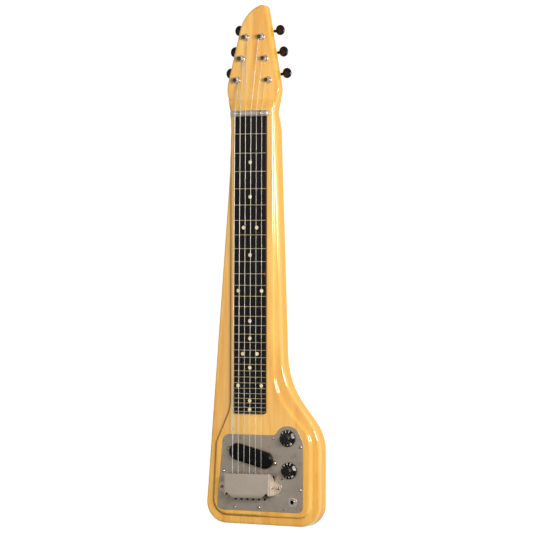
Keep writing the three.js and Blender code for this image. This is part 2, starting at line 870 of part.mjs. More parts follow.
// A knob with a fluted skirt, drawn about its own axis.
function knobGeometry() {
  const foot = plateTop + knobLift;
  const skirt = new THREE.Shape(Array.from({ length: 2 * fluteCount }, (_, index) => {
    const angle = index * Math.PI / fluteCount;
    const radius = skirtRadius - (index % 2) * fluteDepth;
    return new THREE.Vector2(radius * Math.cos(angle), radius * Math.sin(angle));
  }));
  const hub = turned([
    [0, foot],
    [knobFootRadius, foot],
    [knobFootRadius, foot + skirtHeight],
    [knobTopRadius, foot + skirtHeight + fluteDepth * 3],
    [knobTopRadius, plateTop + knobHeight - fluteDepth * 2],
    [knobTopRadius - fluteDepth * 2, plateTop + knobHeight],
    [0, plateTop + knobHeight],
  ], 16);
  const hollow = pillar(0, 0, knobHollowRadius, foot - overrun, foot + knobHollowHeight, 12);
  const bore = pillar(0, 0, potShaftRadius + boreGap, foot - overrun, foot + knobBoreDepth, 8);
  return cut(join(raise(skirt, foot, foot + skirtHeight), hub), hollow, bore);
}

// A potentiometer with its bushing and nut, drawn about its own axis.
function potGeometry() {
  const top = plateauLevel - seatGap;
  const bushingTop = plateTop + bushingHeight;
  const boreFloor = top - potShaftDepth;
  const can = turned([
    [0, top - potHeight],
    [potRadius, top - potHeight],
    [potRadius, top],
    [bushingRadius, top],
    [bushingRadius, bushingTop],
    [potShaftRadius + runningGap, bushingTop],
    [potShaftRadius + runningGap, boreFloor],
    [0, boreFloor],
  ], 12);
  const nutFoot = plateTop + seatGap;
  const nutTip = nutFoot + potNutHeight;
  const nut = pillar(0, 0, potNutRadius, nutFoot, nutTip, 6);
  const core = pillar(0, 0, bushingRadius - seatGap, nutFoot - overrun, nutTip + overrun, 12);
  return join(can, cut(nut, core));
}

function potShaftGeometry() {
  const bottom = plateauLevel - seatGap - potShaftDepth + runningGap;
  const top = plateTop + knobLift + knobBoreDepth - seatGap;
  return pillar(0, 0, potShaftRadius, bottom, top, 10);
}

// The capacitor lies on the pocket's floor between the two potentiometers.
function capacitorGeometry() {
  const geometry = new THREE.CylinderGeometry(capacitorRadius, capacitorRadius, capacitorLength, 10);
  const [x] = knobPlaces[1];
  return geometry.rotateZ(Math.PI / 2).translate(x, capacitorY, pocketFloor + seatGap + capacitorRadius);
}

// The jack: a threaded neck through the plate over a closed barrel.
function jackGeometry() {
  const top = plateauLevel - seatGap;
  const neckTop = plateTop + jackThreadHeight;
  const bottom = pocketFloor + seatGap;
  return turned([
    [0, bottom],
    [jackBarrelRadius, bottom],
    [jackBarrelRadius, top],
    [jackThreadRadius, top],
    [jackThreadRadius, neckTop],
    [jackBore, neckTop],
    [jackBore, bottom + jackWall],
    [0, bottom + jackWall],
  ], 16).translate(jackX, jackY, 0);
}

function jackNutGeometry() {
  const bottom = plateTop;
  const top = bottom + jackNutHeight;
  const nut = pillar(jackX, jackY, jackNutRadius, bottom, top, 6);
  return cut(nut, pillar(jackX, jackY, jackThreadRadius + boreGap, bottom - overrun, top + overrun, 16));
}

// The centre distance of a post and its worm shaft.
const driveDistance = gearPitchRadius + wormPitchRadius + seatGap;

// The gear's outline: one wave a tooth, with a valley where the worm's crest comes in.
function gearShape(towardWorm) {
  const points = Array.from({ length: gearTeeth * 4 }, (_, index) => {
    const angle = index * Math.PI * 2 / (gearTeeth * 4);
    const radius = gearPitchRadius - toothDepth * Math.cos(gearTeeth * angle);
    return new THREE.Vector2(radius, 0).rotateAround(new THREE.Vector2(), angle + towardWorm);
  });
  return new THREE.Shape(points);
}

// A string post with its gear, drawn about its own axis.
function postGeometry(side) {
  const gear = raise(
    gearShape(side * Math.PI / 2), shaftLevel - gearHalfThickness, shaftLevel + gearHalfThickness,
  );
  const bar = turned([
    [0, shaftLevel - gearHalfThickness],
    [postRadius, shaftLevel - gearHalfThickness],
    [postRadius, postTop - postChamfer],
    [postRadius - postChamfer, postTop],
    [0, postTop],
  ], tunerSides);
  const hole = new THREE.CylinderGeometry(postHoleRadius, postHoleRadius, postRadius * 3, 6);
  return cut(join(gear, bar), hole.translate(0, 0, postHoleLevel));
}

function ferruleGeometry() {
  const foot = headFaceLevel;
  const bore = postRadius + runningGap;
  return turned([
    [bore, foot - ferruleSleeveLength],
    [ferruleSleeveRadius, foot - ferruleSleeveLength],
    [ferruleSleeveRadius, foot],
    [ferruleFlangeRadius, foot],
    [ferruleFlangeRadius * 0.93, foot + ferruleFlangeHeight],
    [bore, foot + ferruleFlangeHeight],
    [bore, foot - ferruleSleeveLength],
  ], tunerSides);
}

const threadPitch = 2 * Math.PI * gearPitchRadius / gearTeeth;
const wormHalfLength = threadPitch * wormTurns / 2;
const innerLugPlace = -wormHalfLength - lugThickness - seatGap * 2;
const outerLugPlace = wormHalfLength + seatGap * 2;

// A worm shaft along x. Its wave climbs one pitch a turn and is highest over the gear's valley.
function wormShaftGeometry(side) {
  const inner = innerLugPlace - lugThickness / 2;
  const outer = buttonPlace - buttonHalfLength - buttonCollarLength + buttonBoreDepth - seatGap;
  const ringCount = wormTurns * wormRingsPerTurn;
  const rings = Array.from({ length: ringCount + 1 }, (_, index) => (
    -wormHalfLength + index * 2 * wormHalfLength / ringCount
  ));
  const profile = [
    [0, inner],
    [shaftRadius, inner],
    [shaftRadius, -wormHalfLength - seatGap],
    ...rings.map((place) => [wormPitchRadius, place]),
    [shaftRadius, wormHalfLength + seatGap],
    [shaftRadius, outer],
    [0, outer],
  ];
  const geometry = turned(profile, wormSides);
  const position = geometry.attributes.position;
  const towardGear = side > 0 ? Math.PI : 0;
  for (let index = 0; index < position.count; index += 1) {
    const place = new THREE.Vector3().fromBufferAttribute(position, index);
    const radius = Math.hypot(place.x, place.y);
    if (radius > (shaftRadius + wormPitchRadius) / 2) {
      const angle = Math.atan2(place.y, place.x);
      const wave = Math.cos(2 * Math.PI * place.z / threadPitch - (angle - towardGear));
      const scale = (wormPitchRadius + toothDepth * wave) / radius;
      position.setXY(index, place.x * scale, place.y * scale);
    }
  }
  // The turned axis z becomes x, so that the angle about it is measured from y toward z.
  const frame = new THREE.Matrix4().makeBasis(
    new THREE.Vector3(0, 1, 0), new THREE.Vector3(0, 0, 1), new THREE.Vector3(1, 0, 0),
  );
  return geometry.applyMatrix4(frame).translate(0, side * driveDistance, shaftLevel);
}

// A dished oval button with its collar, along x.
function buttonGeometry(side) {
  const oval = new THREE.SphereGeometry(1, 10, 5);
  oval.rotateX(Math.PI / 2).scale(buttonHalfLength, buttonHalfWidth, buttonHalfThickness);
  const start = -buttonHalfLength - buttonCollarLength;
  const collar = pillar(0, 0, buttonCollarRadius, start, -buttonHalfLength * 0.6, 8);
  const bore = pillar(0, 0, shaftRadius + boreGap, start - overrun, start + buttonBoreDepth, 6);
  collar.rotateY(Math.PI / 2);
  bore.rotateY(Math.PI / 2);
  const button = cut(join(oval, collar), bore);
  return button.translate(buttonPlace, side * driveDistance, shaftLevel);
}

// The plate that carries three tuners, drawn about its middle post with x outward.
function stripGeometry(side) {
  const top = headBackLevel - seatGap;
  const bottom = top - stripThickness;
  const halfLength = tunerPitch + stripEndReach;
  const shift = side * driveDistance / 2;
  const plan = new THREE.Shape();
  plan.absarc(0, shift + halfLength - stripHalfWidth, stripHalfWidth, 0, Math.PI);
  plan.absarc(0, shift - halfLength + stripHalfWidth, stripHalfWidth, Math.PI, Math.PI * 2);
  plan.closePath();
  const plate = raise(plan, bottom, top, 4);
  const rows = [-tunerPitch, 0, tunerPitch];
  const lugs = rows.flatMap((row) => [innerLugPlace, outerLugPlace].map((start) => block(
    start, start + lugThickness,
    row + side * driveDistance - lugHalfWidth, row + side * driveDistance + lugHalfWidth,
    lugFloor, bottom + stripThickness / 2,
  )));
  const shaftBore = shaftRadius + runningGap;
  const shaftBores = rows.map((row) => {
    const bore = new THREE.CylinderGeometry(shaftBore, shaftBore, buttonPlace, 8);
    return bore.rotateZ(Math.PI / 2).translate(0, row + side * driveDistance, shaftLevel);
  });
  const postBores = rows.map((row) => (
    pillar(0, row, postRadius + runningGap, bottom - overrun, top + overrun, 10)
  ));
  const screwPlaces = [
    shift + halfLength - stripHalfWidth * 0.7,
    shift - halfLength + stripHalfWidth * 0.7,
    shift + tunerPitch / 2,
    shift - tunerPitch / 2,
  ];
  const heads = screwPlaces.map((y) => turned([
    [0, bottom - stripScrewHeight],
    [stripScrewRadius * 0.7, bottom - stripScrewHeight * 0.8],
    [stripScrewRadius, bottom],
    [stripScrewRadius, bottom + stripThickness / 2],
    [0, bottom + stripThickness / 2],
  ], 8).translate(0, y, 0));
  return cut(join(plate, ...lugs, ...heads), ...shaftBores, ...postBores);
}

// A line through chosen points, with a ring of the tube at each.
class PointPath extends THREE.Curve {
  constructor(points) {
    super();
    this.points = points;
  }

  getPoint(share, target = new THREE.Vector3()) {
    const place = share * (this.points.length - 1);
    const index = Math.min(Math.floor(place), this.points.length - 2);
    return target.lerpVectors(this.points[index], this.points[index + 1], place - index);
  }

  getUtoTmapping(share) {
    return share;
  }
}

// Points of a route whose inner corners are cut short by bendReach.
function softened(points) {
  return points.flatMap((point, index) => {
    if (index === 0 || index === points.length - 1) {
      return [point];
    }
    return [points[index - 1], points[index + 1]].map((other) => (
      other.clone().sub(point).setLength(bendReach).add(point)
    ));
  });
}

// The turns of a string round its post, climbing from the side where it comes in.
function coilPoints(nutPoint, post, side, diameter) {
  const radius = (postRadius + seatGap + diameter / 2) / Math.cos(Math.PI / coilSteps);
  const toNut = new THREE.Vector2(nutPoint.x - post.x, nutPoint.y - post.y);
  const startAngle = toNut.angle() - side * Math.acos(radius / toNut.length());
  const pitch = diameter + coilGap;
  const floor = headFaceLevel + ferruleFlangeHeight + coilFloorGap + diameter / 2;
  const count = Math.round(coilTurns * coilSteps);
  return Array.from({ length: count + 1 }, (_, index) => {
    const turn = index / coilSteps;
    const angle = startAngle - side * turn * Math.PI * 2;
    return new THREE.Vector3(
      post.x + radius * Math.cos(angle),
      post.y + radius * Math.sin(angle),
      floor + turn * pitch,
    );
  });
}

// The route of a string from its ball end to its post.
function stringRoute(index) {
  const diameter = stringDiameters[index];
  const side = index < stringCount / 2 ? -1 : 1;
  const row = index < stringCount / 2 ? index : stringCount - 1 - index;
  const post = strips[(side + 1) / 2].posts[row];
  const holeX = places(holeSpacing)[index];
  const route = softened([
    new THREE.Vector3(holeX, -stringHoleY, anchorDepth - anchorThickness - ballHeight / 2 - seatGap),
    new THREE.Vector3(holeX, -stringHoleY, plateTop),
    new THREE.Vector3(places(bridgeSpacing)[index], 0, bridgeStringLevel),
    new THREE.Vector3(places(nutSpacing)[index], stringLength + nutRound * nutBendShare, nutStringLevel),
    new THREE.Vector3(post.x, post.y, headFaceLevel),
  ]);
  route.pop();
  return [...route, ...coilPoints(route.at(-1), post, side, diameter)];
}

// The least gap between a string's turns, measured on points along it that lie half a turn or more apart.
function leastTurnGap(index) {
  const corners = stringRoute(index).slice(-Math.round(coilTurns * coilSteps) - 2);
  const points = corners.slice(1).flatMap((end, at) => {
    const count = Math.ceil(corners[at].distanceTo(end) / gapStep);
    return Array.from({ length: count }, (_, step) => corners[at].clone().lerp(end, step / count));
  });
  const halfTurn = Math.round(Math.PI * postRadius / gapStep);
  const spans = points.map((point, at) => (
    Math.min(...points.slice(at + halfTurn).map((other) => point.distanceTo(other)))
  ));
  return Math.min(...spans) - stringDiameters[index];
}

function stringGeometry(index) {
  const radius = stringDiameters[index] / 2;
  const points = stringRoute(index);
  const section = new THREE.Shape(Array.from({ length: stringSides }, (_, corner) => {
    const angle = corner * Math.PI * 2 / stringSides;
    return new THREE.Vector2(radius * Math.cos(angle), radius * Math.sin(angle));
  }));
  const wire = new THREE.ExtrudeGeometry(section, {
    steps: points.length - 1, extrudePath: new PointPath(points),
  });
  const ballTop = anchorDepth - anchorThickness - seatGap;
  const ball = pillar(points[0].x, points[0].y, ballRadius, ballTop - ballHeight, ballTop, 8);
  return join(wire, ball);
}

const woodColor = '#e9b970';
const blackColor = '#141210';
const plateColor = '#a39a8d';
const nickelColor = '#b8b2a8';
const brassColor = '#a08c55';

function material(color, roughness, metalness) {
  return new THREE.MeshStandardMaterial({ color, roughness, metalness });
}

const guitar = new THREE.Group();

function add(name, geometry, look, parent = guitar) {
  const mesh = new THREE.Mesh(geometry, look);
  mesh.name = name;
  parent.add(mesh);
  return mesh;
}

// A group whose origin and x direction the pieces drawn about their own axis take.
function placed(x, y, turn = 0) {
  const group = new THREE.Group();
  group.position.set(x, y, 0);
  group.rotation.z = turn;
  guitar.add(group);
  return group;
}

add('body', bodyGeometry(), material(woodColor, 0.3, 0));
add('fretboard', fretboardGeometry(), material(blackColor, 0.4, 0));
add('nut', nutGeometry(), material(nickelColor, 0.35, 0.9));
add('control_plate', controlPlateGeometry(), material(plateColor, 0.5, 0.9));
add('pickup_cover', pickupCoverGeometry(), material(blackColor, 0.3, 0));
add('pickup_flange', pickupFlangeGeometry(), material(brassColor, 0.5, 0.8));
add('pickup_coil', pickupCoilGeometry(), material('#6b3a1f', 0.6, 0.2));
add('pickup_magnet', pickupMagnetGeometry(), material('#5b5d60', 0.5, 0.8));
add('bridge_saddle', bridgeGeometry(), material(nickelColor, 0.4, 0.9));
add('bridge_cover', bridgeCoverGeometry(), material('#b0a89d', 0.35, 0.95));
add('string_anchor', anchorGeometry(), material(nickelColor, 0.5, 0.9));
add('capacitor', capacitorGeometry(), material('#7d5a33', 0.5, 0));
add('jack_body', jackGeometry(), material(nickelColor, 0.4, 0.9));
add('jack_nut', jackNutGeometry(), material(nickelColor, 0.35, 0.95));

const woodScrews = [
  ['pickup_screw', pickupScrewPlaces(), plateTop + flangeThickness],
  ['cover_screw', coverScrewPlaces(), plateTop + coverSheet],
  ['nut_screw', nutScrewPlaces(), nutScrewLevel()],
];
for (const [name, spots, level] of woodScrews) {
  spots.forEach(([x, y], index) => {
    add(`${name}_${index + 1}`, woodScrew(x, y, level), material(nickelColor, 0.4, 0.9));
  });
}

knobPlaces.forEach(([x, y], index) => {
  const spot = placed(x, y);
  add(`knob_${index + 1}`, knobGeometry(), material(blackColor, 0.25, 0), spot);
  add(`pot_${index + 1}`, potGeometry(), material('#8f8b84', 0.4, 0.9), spot);
  add(`pot_shaft_${index + 1}`, potShaftGeometry(), material('#c2a56a', 0.4, 0.9), spot);
});

for (const { side, middle, posts, turn } of strips) {
  const label = side < 0 ? 'bass' : 'treble';
  const plateSpot = placed(middle.x, middle.y, turn);
  add(`tuner_plate_${label}`, stripGeometry(side), material(nickelColor, 0.45, 0.9), plateSpot);
  posts.forEach((post, row) => {
    const spot = placed(post.x, post.y, turn);
    const tail = `${label}_${row + 1}`;
    add(`ferrule_${tail}`, ferruleGeometry(), material(nickelColor, 0.3, 0.95), spot);
    add(`post_${tail}`, postGeometry(side), material(nickelColor, 0.35, 0.9), spot);
    add(`worm_shaft_${tail}`, wormShaftGeometry(side), material(nickelColor, 0.4, 0.9), spot);
    add(`button_${tail}`, buttonGeometry(side), material('#1c1512', 0.3, 0), spot);
  });
}

stringDiameters.forEach((_, index) => {
  add(`string_${stringCount - index}`, stringGeometry(index), material('#b9b6b0', 0.35, 0.95));
});

const turnGap = Math.min(...stringDiameters.map((_, index) => leastTurnGap(index)));
console.log(`Least gap between the turns of a string: ${turnGap.toFixed(2)} mm`);

// The finished guitar stands on z = 0, centred on x and y.
const box = new THREE.Box3().setFromObject(guitar);
const centre = box.getCenter(new THREE.Vector3());
guitar.position.set(-centre.x, -centre.y, -box.min.z);
guitar.updateMatrixWorld(true);

export default guitar;
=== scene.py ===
"""The looks of a six-string lap steel guitar that lies on its back.

It is drawn in millimetres. x runs to the treble side, y to the head and z out of the playing face.
y = 0 is the bridge line, x = 0 the middle string gap and z = 0 the back.
"""

import random
from math import acos, atan2, ceil, cos, hypot, pi, radians, sin, tan

import bmesh
import bpy
from mathutils import Matrix, Vector


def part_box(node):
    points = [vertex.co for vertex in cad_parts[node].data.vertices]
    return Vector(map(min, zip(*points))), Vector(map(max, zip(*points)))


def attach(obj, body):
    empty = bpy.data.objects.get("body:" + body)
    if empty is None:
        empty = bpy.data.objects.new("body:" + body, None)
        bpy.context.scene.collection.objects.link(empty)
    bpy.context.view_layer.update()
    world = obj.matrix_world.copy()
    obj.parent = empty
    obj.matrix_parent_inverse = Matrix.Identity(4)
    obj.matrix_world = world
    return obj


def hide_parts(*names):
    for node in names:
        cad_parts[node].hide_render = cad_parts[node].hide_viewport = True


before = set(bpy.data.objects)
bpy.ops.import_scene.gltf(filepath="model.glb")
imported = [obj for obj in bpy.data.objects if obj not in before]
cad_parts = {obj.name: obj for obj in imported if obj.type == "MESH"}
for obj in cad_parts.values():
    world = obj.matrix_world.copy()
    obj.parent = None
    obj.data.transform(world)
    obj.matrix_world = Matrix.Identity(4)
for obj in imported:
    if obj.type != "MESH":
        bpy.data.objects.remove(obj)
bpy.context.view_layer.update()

MM = 0.001
CORNER_SIGNS = ((1, 1), (-1, 1), (-1, -1), (1, -1))
BOARD_HALF = 26.6
BOARD_END = 566.5
board_low, board_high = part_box("fretboard")
ORIGIN = Vector(((board_low.x + board_high.x) / 2, board_high.y - BOARD_END * MM, 0))

# Strings, heavy to light from the bass side
STRING_LENGTH = 571.5
STRING_DIAMETERS = (1.42, 1.12, 0.86, 0.66, 0.5, 0.44)
WOUND_STRINGS = 3
NUT_SPACING = 9.16
BRIDGE_SPACING = 9.75
HOLE_SPACING = 9.9
NUT_STRING_LEVEL = 44.3
BRIDGE_STRING_LEVEL = 47
STRING_HOLE_Y = -26.6
STRING_BALL = ((0, 0.7), (1.9, 0.7), (1.9, 2.3), (0, 2.3))
BEND_REACH = 1.6
COIL_TURNS = 2.25
COIL_GAP = 1.36

# Body
LEDGE = 28.5
PLATEAU = 32.5
HEAD_BACK = 8.5
HEAD_FACE = 26.3
EDGE = 3.5
PLATEAU_RUN = 5.5
PLATEAU_RISE = 4
FILLET = 2
STEP_ROOT = 8
HEAD_HALF = 45
HEAD_LENGTH = 172.7
NECK_END = STRING_LENGTH - 26
HEAD_SHARES = (
    (0.77, 0.009, 0.45), (0.99, 0.206, 0.67), (0.445, 1, 0.2), (-0.147, 0.935, 1.1),
    (-0.46, 0.817, 0.9), (-1.027, 0.229, 1), (-0.858, 0.015, 1.3),
)
BODY_CORNERS = [
    (-34.3, NECK_END, 30), (-79.8, -65.4, 33), (114.4, -68.4, 33),
    (114.4, 73.9, 72), (52, 153.2, 130), (38.6, NECK_END, 30),
] + [
    (across * HEAD_HALF, STRING_LENGTH + along * HEAD_LENGTH, radius * HEAD_HALF)
    for across, along, radius in HEAD_SHARES
]
PLATEAU_END = STRING_LENGTH + 37
PLATEAU_CORNERS = (
    (-37.6, PLATEAU_END, 15), (-37.6, 115.2, 50), (-61.6, 61, 15), (-67.5, -54.2, 27),
    (103.4, -56, 22), (103.4, 72.1, 48), (41.4, 139, 95), (37.6, PLATEAU_END, 15),
)

POCKET_FLOOR = 8
POCKET_CORNERS = (
    (49.7, 82.4, 12.9), (49.7, 5.3, 8.2), (62, -39.1, 4),
    (80.8, -39.1, 5.4), (80.8, 32.5, 13.6), (76.9, 82.4, 12.9),
)
WIRE_CHANNEL = (20, 66, 41.6, 49.6)
WIRE_CHANNEL_FLOOR = 20
COIL_SPACE_FLOOR = 16
COIL_SPACE_GAP = 2
POST_HOLE = 4.7
STRING_HOLE = 2.25
SCREW_HOLE = 1.7
SCREW_DEPTH = 11
SCREW_HEAD = (2.6, 1.8)
PLATE_HEAD = (2.3, 2.1)
STRIP_HEAD = (2.2, 1.2)
SLOT_HALF = 0.32
SHANK_RADIUS = 1.4
COUNTERSINK = 2.9
ANCHOR_HALF = 31
ANCHOR_HALF_WIDTH = 5
ANCHOR_LEVELS = (2.6, 5)
GAP = 0.3
OVERRUN = 2

# Fretboard and nut
BOARD_TOP = 36.5
BOARD_START = 105.8
BOARD_EDGE = 0.35
FRET_COUNT = 29
FRET_SHARE = 17 / 18
FRET_HALF_WIDTH = 0.55
FRET_RISE = 0.22
SUNK = 0.3
DOT_RADIUS = 2.9
SINGLE_DOTS = (3, 5, 9, 15, 17, 21, 27, 29)
PAIRED_DOTS = {7: 11.2, 19: 12.2, 12: 19.8, 24: 19.8}
NUT_HALF = 32.7
NUT_RADIUS = 4.7
NUT_TOP = 43.29
NUT_ROUND = 3.8
NUT_SCREW_X = 18
NUT_SEAT = NUT_TOP - 2.1
NUT_GROOVE = 0.75

# Control plate and what stands on it
PLATE_TOP = 33.5
PLATE_CORNERS = (
    (-46.1, 73.3, 11), (-57, -44.2, 9), (89, -45.8, 9), (89, 63, 22),
    (75.4, 87.4, 18.6), (50.5, 87.4, 18.6), (42.5, 73.3, 8),
)
PLATE_SCREWS = (
    (-16.3, 68.8), (38.7, 68.7), (84.6, 55.5), (-45.6, 15.8),
    (84.7, -11.1), (-25.6, -39.7), (14.6, -40.1), (58.4, -40.7),
)
PLATE_SINK = 0.4
PLATE_CUT = (30, 36)
KNOB_HOLE = 3.9
JACK_HOLE = 5
SPARE_HOLE = (53.8, 5.3)
SPARE_RADIUS = 1.3
PICKUP_PLACE = (2.5, 40.3)
PICKUP_ANGLE = radians(-15)
PICKUP_HALF = 37
PICKUP_RADIUS = 13
PICKUP_TOP = 41.7
CAP_ROUND = 3.2
CAP_WALL = 1.6
FLANGE_TOP = 34.3
FLANGE_REACH = 0.9
FLANGE_EAR = 4
PICKUP_SCREW_HALF = 40.35
COIL_RADIUS = 9.8
KNOBS = ((63.3, 68.8), (65.9, 18.9))
KNOB_TOP = 15
KNOB_LIFT = 0.6
HUB_RADIUS = 7.1
HUB_ROUND = 0.8
SKIRT_RADIUS = 13.2
SKIRT_BEND = (12.9, 2.1)
SKIRT_SLOPE = 0.55
FLUTES = 20
NUMERAL_SIZE = 4.3
NUMERAL_CIRCLE = 11
NUMERAL_START = 12
NUMERAL_STEP = 29.5
JACK = (71.4, -29.7)
JACK_BARREL = (
    (3.25, 10.3), (3.25, 36.3), (3.6, 36.7), (4.4, 36.7), (4.7, 36.4),
    (4.7, 32.2), (7.4, 32.2), (7.4, 8.3), (0, 8.3), (0, 10.3),
)
JACK_LINING = ((0, 26), (3.2, 26), (3.2, 33), (2.6, 33), (2.6, 28), (0, 28))
JACK_WASHER = ((5, 0), (8.1, 0), (8.1, 0.35), (7.75, 0.7), (5, 0.7))
JACK_NUT = ((7, 0.7), (7, 2.2))
JACK_CROWN = ((7.4, 0.7), (7.4, 1.75), (6.7, 2.2), (0, 2.2), (0, 0.7))

# Bridge cover
COVER_X = 1.4
COVER_HALF = 39.5
COVER_TOP = 51.5
COVER_SHEET = 1.2
COVER_BEND = 4.5
COVER_HEAD_SIDE = 14.2
COVER_TAIL_SIDE = 20.2
COVER_LIP = 3
COVER_FOOT = 1.2
COVER_WALL_BEND = (9.65, 38)
COVER_NOTCH = (33.65, -15.7)
COVER_NOTCH_MOUTH = (38.6, -22.2)
COVER_FLAP = (23.8, -24.1)
COVER_FLAP_REACH = 6
COVER_FLAP_SLOPE = 0.49
COVER_SLOT = (COVER_HALF, 44, -9.6, -7.8, 37, 41)
COVER_EAR = 48
COVER_EAR_Y = -8.7
COVER_EAR_TIP = 53.4

# Bridge saddle
SADDLE_HALF = 27
SADDLE_FOOT = (5, 2.5)
SADDLE_CROWN = 1.3

# Tuners
TUNER_SPREAD = 20.1
TUNER_ROW = 85.4
TUNER_PITCH = 34.1
STRIP_ANGLE = 11.3
HEAD_LEAN = -1.4
POST_RADIUS = 3.15
POST_TOP = 36.6
SHAFT_LEVEL = 3.3
GEAR_TEETH = 14
GEAR_RADIUS = 5.1
WORM_RADIUS = 2.35
TOOTH_DEPTH = 0.5
WORM_TURNS = 3
SHAFT_RADIUS = 1.5
DRIVE_DISTANCE = GEAR_RADIUS + WORM_RADIUS + 0.3
THREAD_PITCH = 2 * pi * GEAR_RADIUS / GEAR_TEETH
WORM_HALF = THREAD_PITCH * WORM_TURNS / 2
BUTTON_PLACE = 23.3
BUTTON_HALF = (7.6, 8.2, 2.9)
BUTTON_COLLAR = ((0, -3), (2, -3), (2.4, -2.6), (2.4, -0.6), (2.0, 0.6), (2.6, 2.8), (0, 2.8))
GEAR_HALF = 1.7
GEAR_BEVEL = 0.3
POST_ROUND = 0.8
STRING_BORE = 0.8
STRING_BORE_LEVEL = 34.6
FERRULE_BORE = POST_RADIUS + 0.35
FERRULE_RIM = 5.9
FERRULE_SLOPE = 1.1
STRIP_SHEET = 1.2
STRIP_HALF_WIDTH = 6.6
STRIP_END = 11
STRIP_SCREW = 4.6
LUG_HALF_WIDTH = 2.9

# Camera and lights, in degrees and metres
YAW, PITCH, ROLL = 24, 0.03, 0.14
AIM = (28.09, 334.02, 36.5)
DISTANCE = 4.5
LENS = 196.5
ROOM_LIGHT = 0.2
FLOOR_HALF = 6
FLOOR_LEVEL = -0.0005


def at(x, y, z):
    """The place of a drawn point in the frame, in metres."""
    return ORIGIN + Vector((x, y, z)) * MM


# Shapes


def placed(name, data):
    """A new object of the scene."""
    obj = bpy.data.objects.new(name, data)
    bpy.context.scene.collection.objects.link(obj)
    return obj


def solid(points, faces):
    """A mesh object, with shared corners joined and faces turned outward."""
    mesh = bpy.data.meshes.new("solid")
    mesh.from_pydata([tuple(point) for point in points], [], faces)
    work = bmesh.new()
    work.from_mesh(mesh)
    bmesh.ops.remove_doubles(work, verts=work.verts, dist=0.002)
    bmesh.ops.recalc_face_normals(work, faces=work.faces)
    work.to_mesh(mesh)
    work.free()
    return placed("solid", mesh)


def loft(rings, closed=False):
    """A solid through rings of equally many points, closed by its ends or back onto its first ring."""
    count = len(rings[0])
    spans = [(row, (row + 1) % len(rings)) for row in range(len(rings) - (not closed))]
    faces = [
        (low * count + i, low * count + (i + 1) % count, high * count + (i + 1) % count, high * count + i)
        for low, high in spans
        for i in range(count)
    ]
    if not closed:
        faces.append(tuple(range(count))[::-1])
        faces.append(tuple((len(rings) - 1) * count + i for i in range(count)))
    return solid([point for ring in rings for point in ring], faces)


def rounded(corners, steps=10):
    """A counterclockwise outline whose corners are arcs, as points with their outward directions."""
    outline = []
    for index, (x, y, radius) in enumerate(corners):
        corner = Vector((x, y))
        before = (Vector(corners[index - 1][:2]) - corner).normalized()
        after = (Vector(corners[(index + 1) % len(corners)][:2]) - corner).normalized()
        half = before.angle(after) / 2
        centre = corner + (before + after).normalized() * radius / sin(half)
        start = corner + before * radius / tan(half) - centre
        sense = 1 if before.cross(after) < 0 else -1
        sweep = sense * (pi - 2 * half)
        count = max(2, ceil(abs(sweep) / (pi / 2) * steps))
        for step in range(count + 1):
            spoke = start.copy()
            spoke.rotate(Matrix.Rotation(sweep * step / count, 2))
            outline.append((centre + spoke, spoke.normalized() * sense))
    return outline


def stadium(half, radius, steps=16):
    """The outline of a bar with round ends along x."""
    return rounded([(x * half, y * radius, radius) for x, y in CORNER_SIGNS], steps)


def evenly(steps, whole=pi / 2):
    """Values in equal steps from 0 to a whole, which is a quarter turn unless given."""
    return [step / steps * whole for step in range(steps + 1)]


def curved(start, corner, end, steps):
    """A curve that leaves its start toward a corner and comes from there to its end."""
    start, corner, end = Vector(start), Vector(corner), Vector(end)
    return [start * (1 - t) ** 2 + corner * 2 * t * (1 - t) + end * t ** 2 for t in evenly(steps, 1)]


def inset(outline, distance, level):
    """A ring drawn in from an outline, at a level."""
    return [(*(point - outward * distance), level) for point, outward in outline]


def raised(outline, bottom, top, run=0, rise=0, steps=6, below=True):
    """An outline raised from bottom to top, its edges rounded by a run and a rise."""
    angles = evenly(steps) if run else [0]
    lower = [(run * (1 - sin(a)), bottom + rise * (1 - cos(a))) for a in angles]
    upper = [(run * (1 - cos(a)), top - rise * (1 - sin(a))) for a in angles]
    profile = (lower if below else [(0, bottom)]) + upper
    return loft([inset(outline, *step) for step in profile])


def prism(points, axis, start, end):
    """A flat outline drawn out along an axis. Its two coordinates keep the order of x, y and z."""
    def spot(point, place):
        spread = list(point)
        spread.insert("xyz".index(axis), place)
        return spread

    return loft([[spot(point, place) for point in points] for place in (start, end)])


def block(x0, x1, y0, y1, z0, z1):
    """A block between two corners, as a cutting tool or a small bar."""
    return prism([(x0, y0), (x1, y0), (x1, y1), (x0, y1)], "z", z0, z1)


def turned(profile, sides=48, closed=False, reach=None):
    """A piece turned about the z axis, from radii and levels. reach may change the radius with the angle."""
    rings = []
    for radius, level in profile:
        ring = []
        for index in range(sides):
            angle = 2 * pi * index / sides
            length = reach(radius, level, angle) if reach else radius
            ring.append((length * cos(angle), length * sin(angle), level))
        rings.append(ring)
    return loft(rings, closed)


def lifted(profile, level):
    """Radii and heights of a profile, with its heights counted from a level."""
    return [(radius, level + up) for radius, up in profile]


def moved(obj, x=0, y=0, z=0, turn=0):
    """The object turned about z, then moved."""
    obj.data.transform(Matrix.Translation((x, y, z)) @ Matrix.Rotation(turn, 4, "Z"))
    return obj


def laid(obj, turn=0):
    """The object with its z axis laid along x."""
    obj.data.transform(Matrix(((0, 0, 1, 0), (1, 0, 0, 0), (0, 1, 0, 0), (0, 0, 0, 1))))
    return moved(obj, turn=turn)


def made_mesh(obj):
    """The mesh that the object's modifiers or its text make."""
    bpy.context.view_layer.update()
    return bpy.data.meshes.new_from_object(obj.evaluated_get(bpy.context.evaluated_depsgraph_get()))


def settle(obj):
    """Gives the object the mesh that its modifiers make."""
    mesh = made_mesh(obj)
    obj.modifiers.clear()
    obj.data = mesh


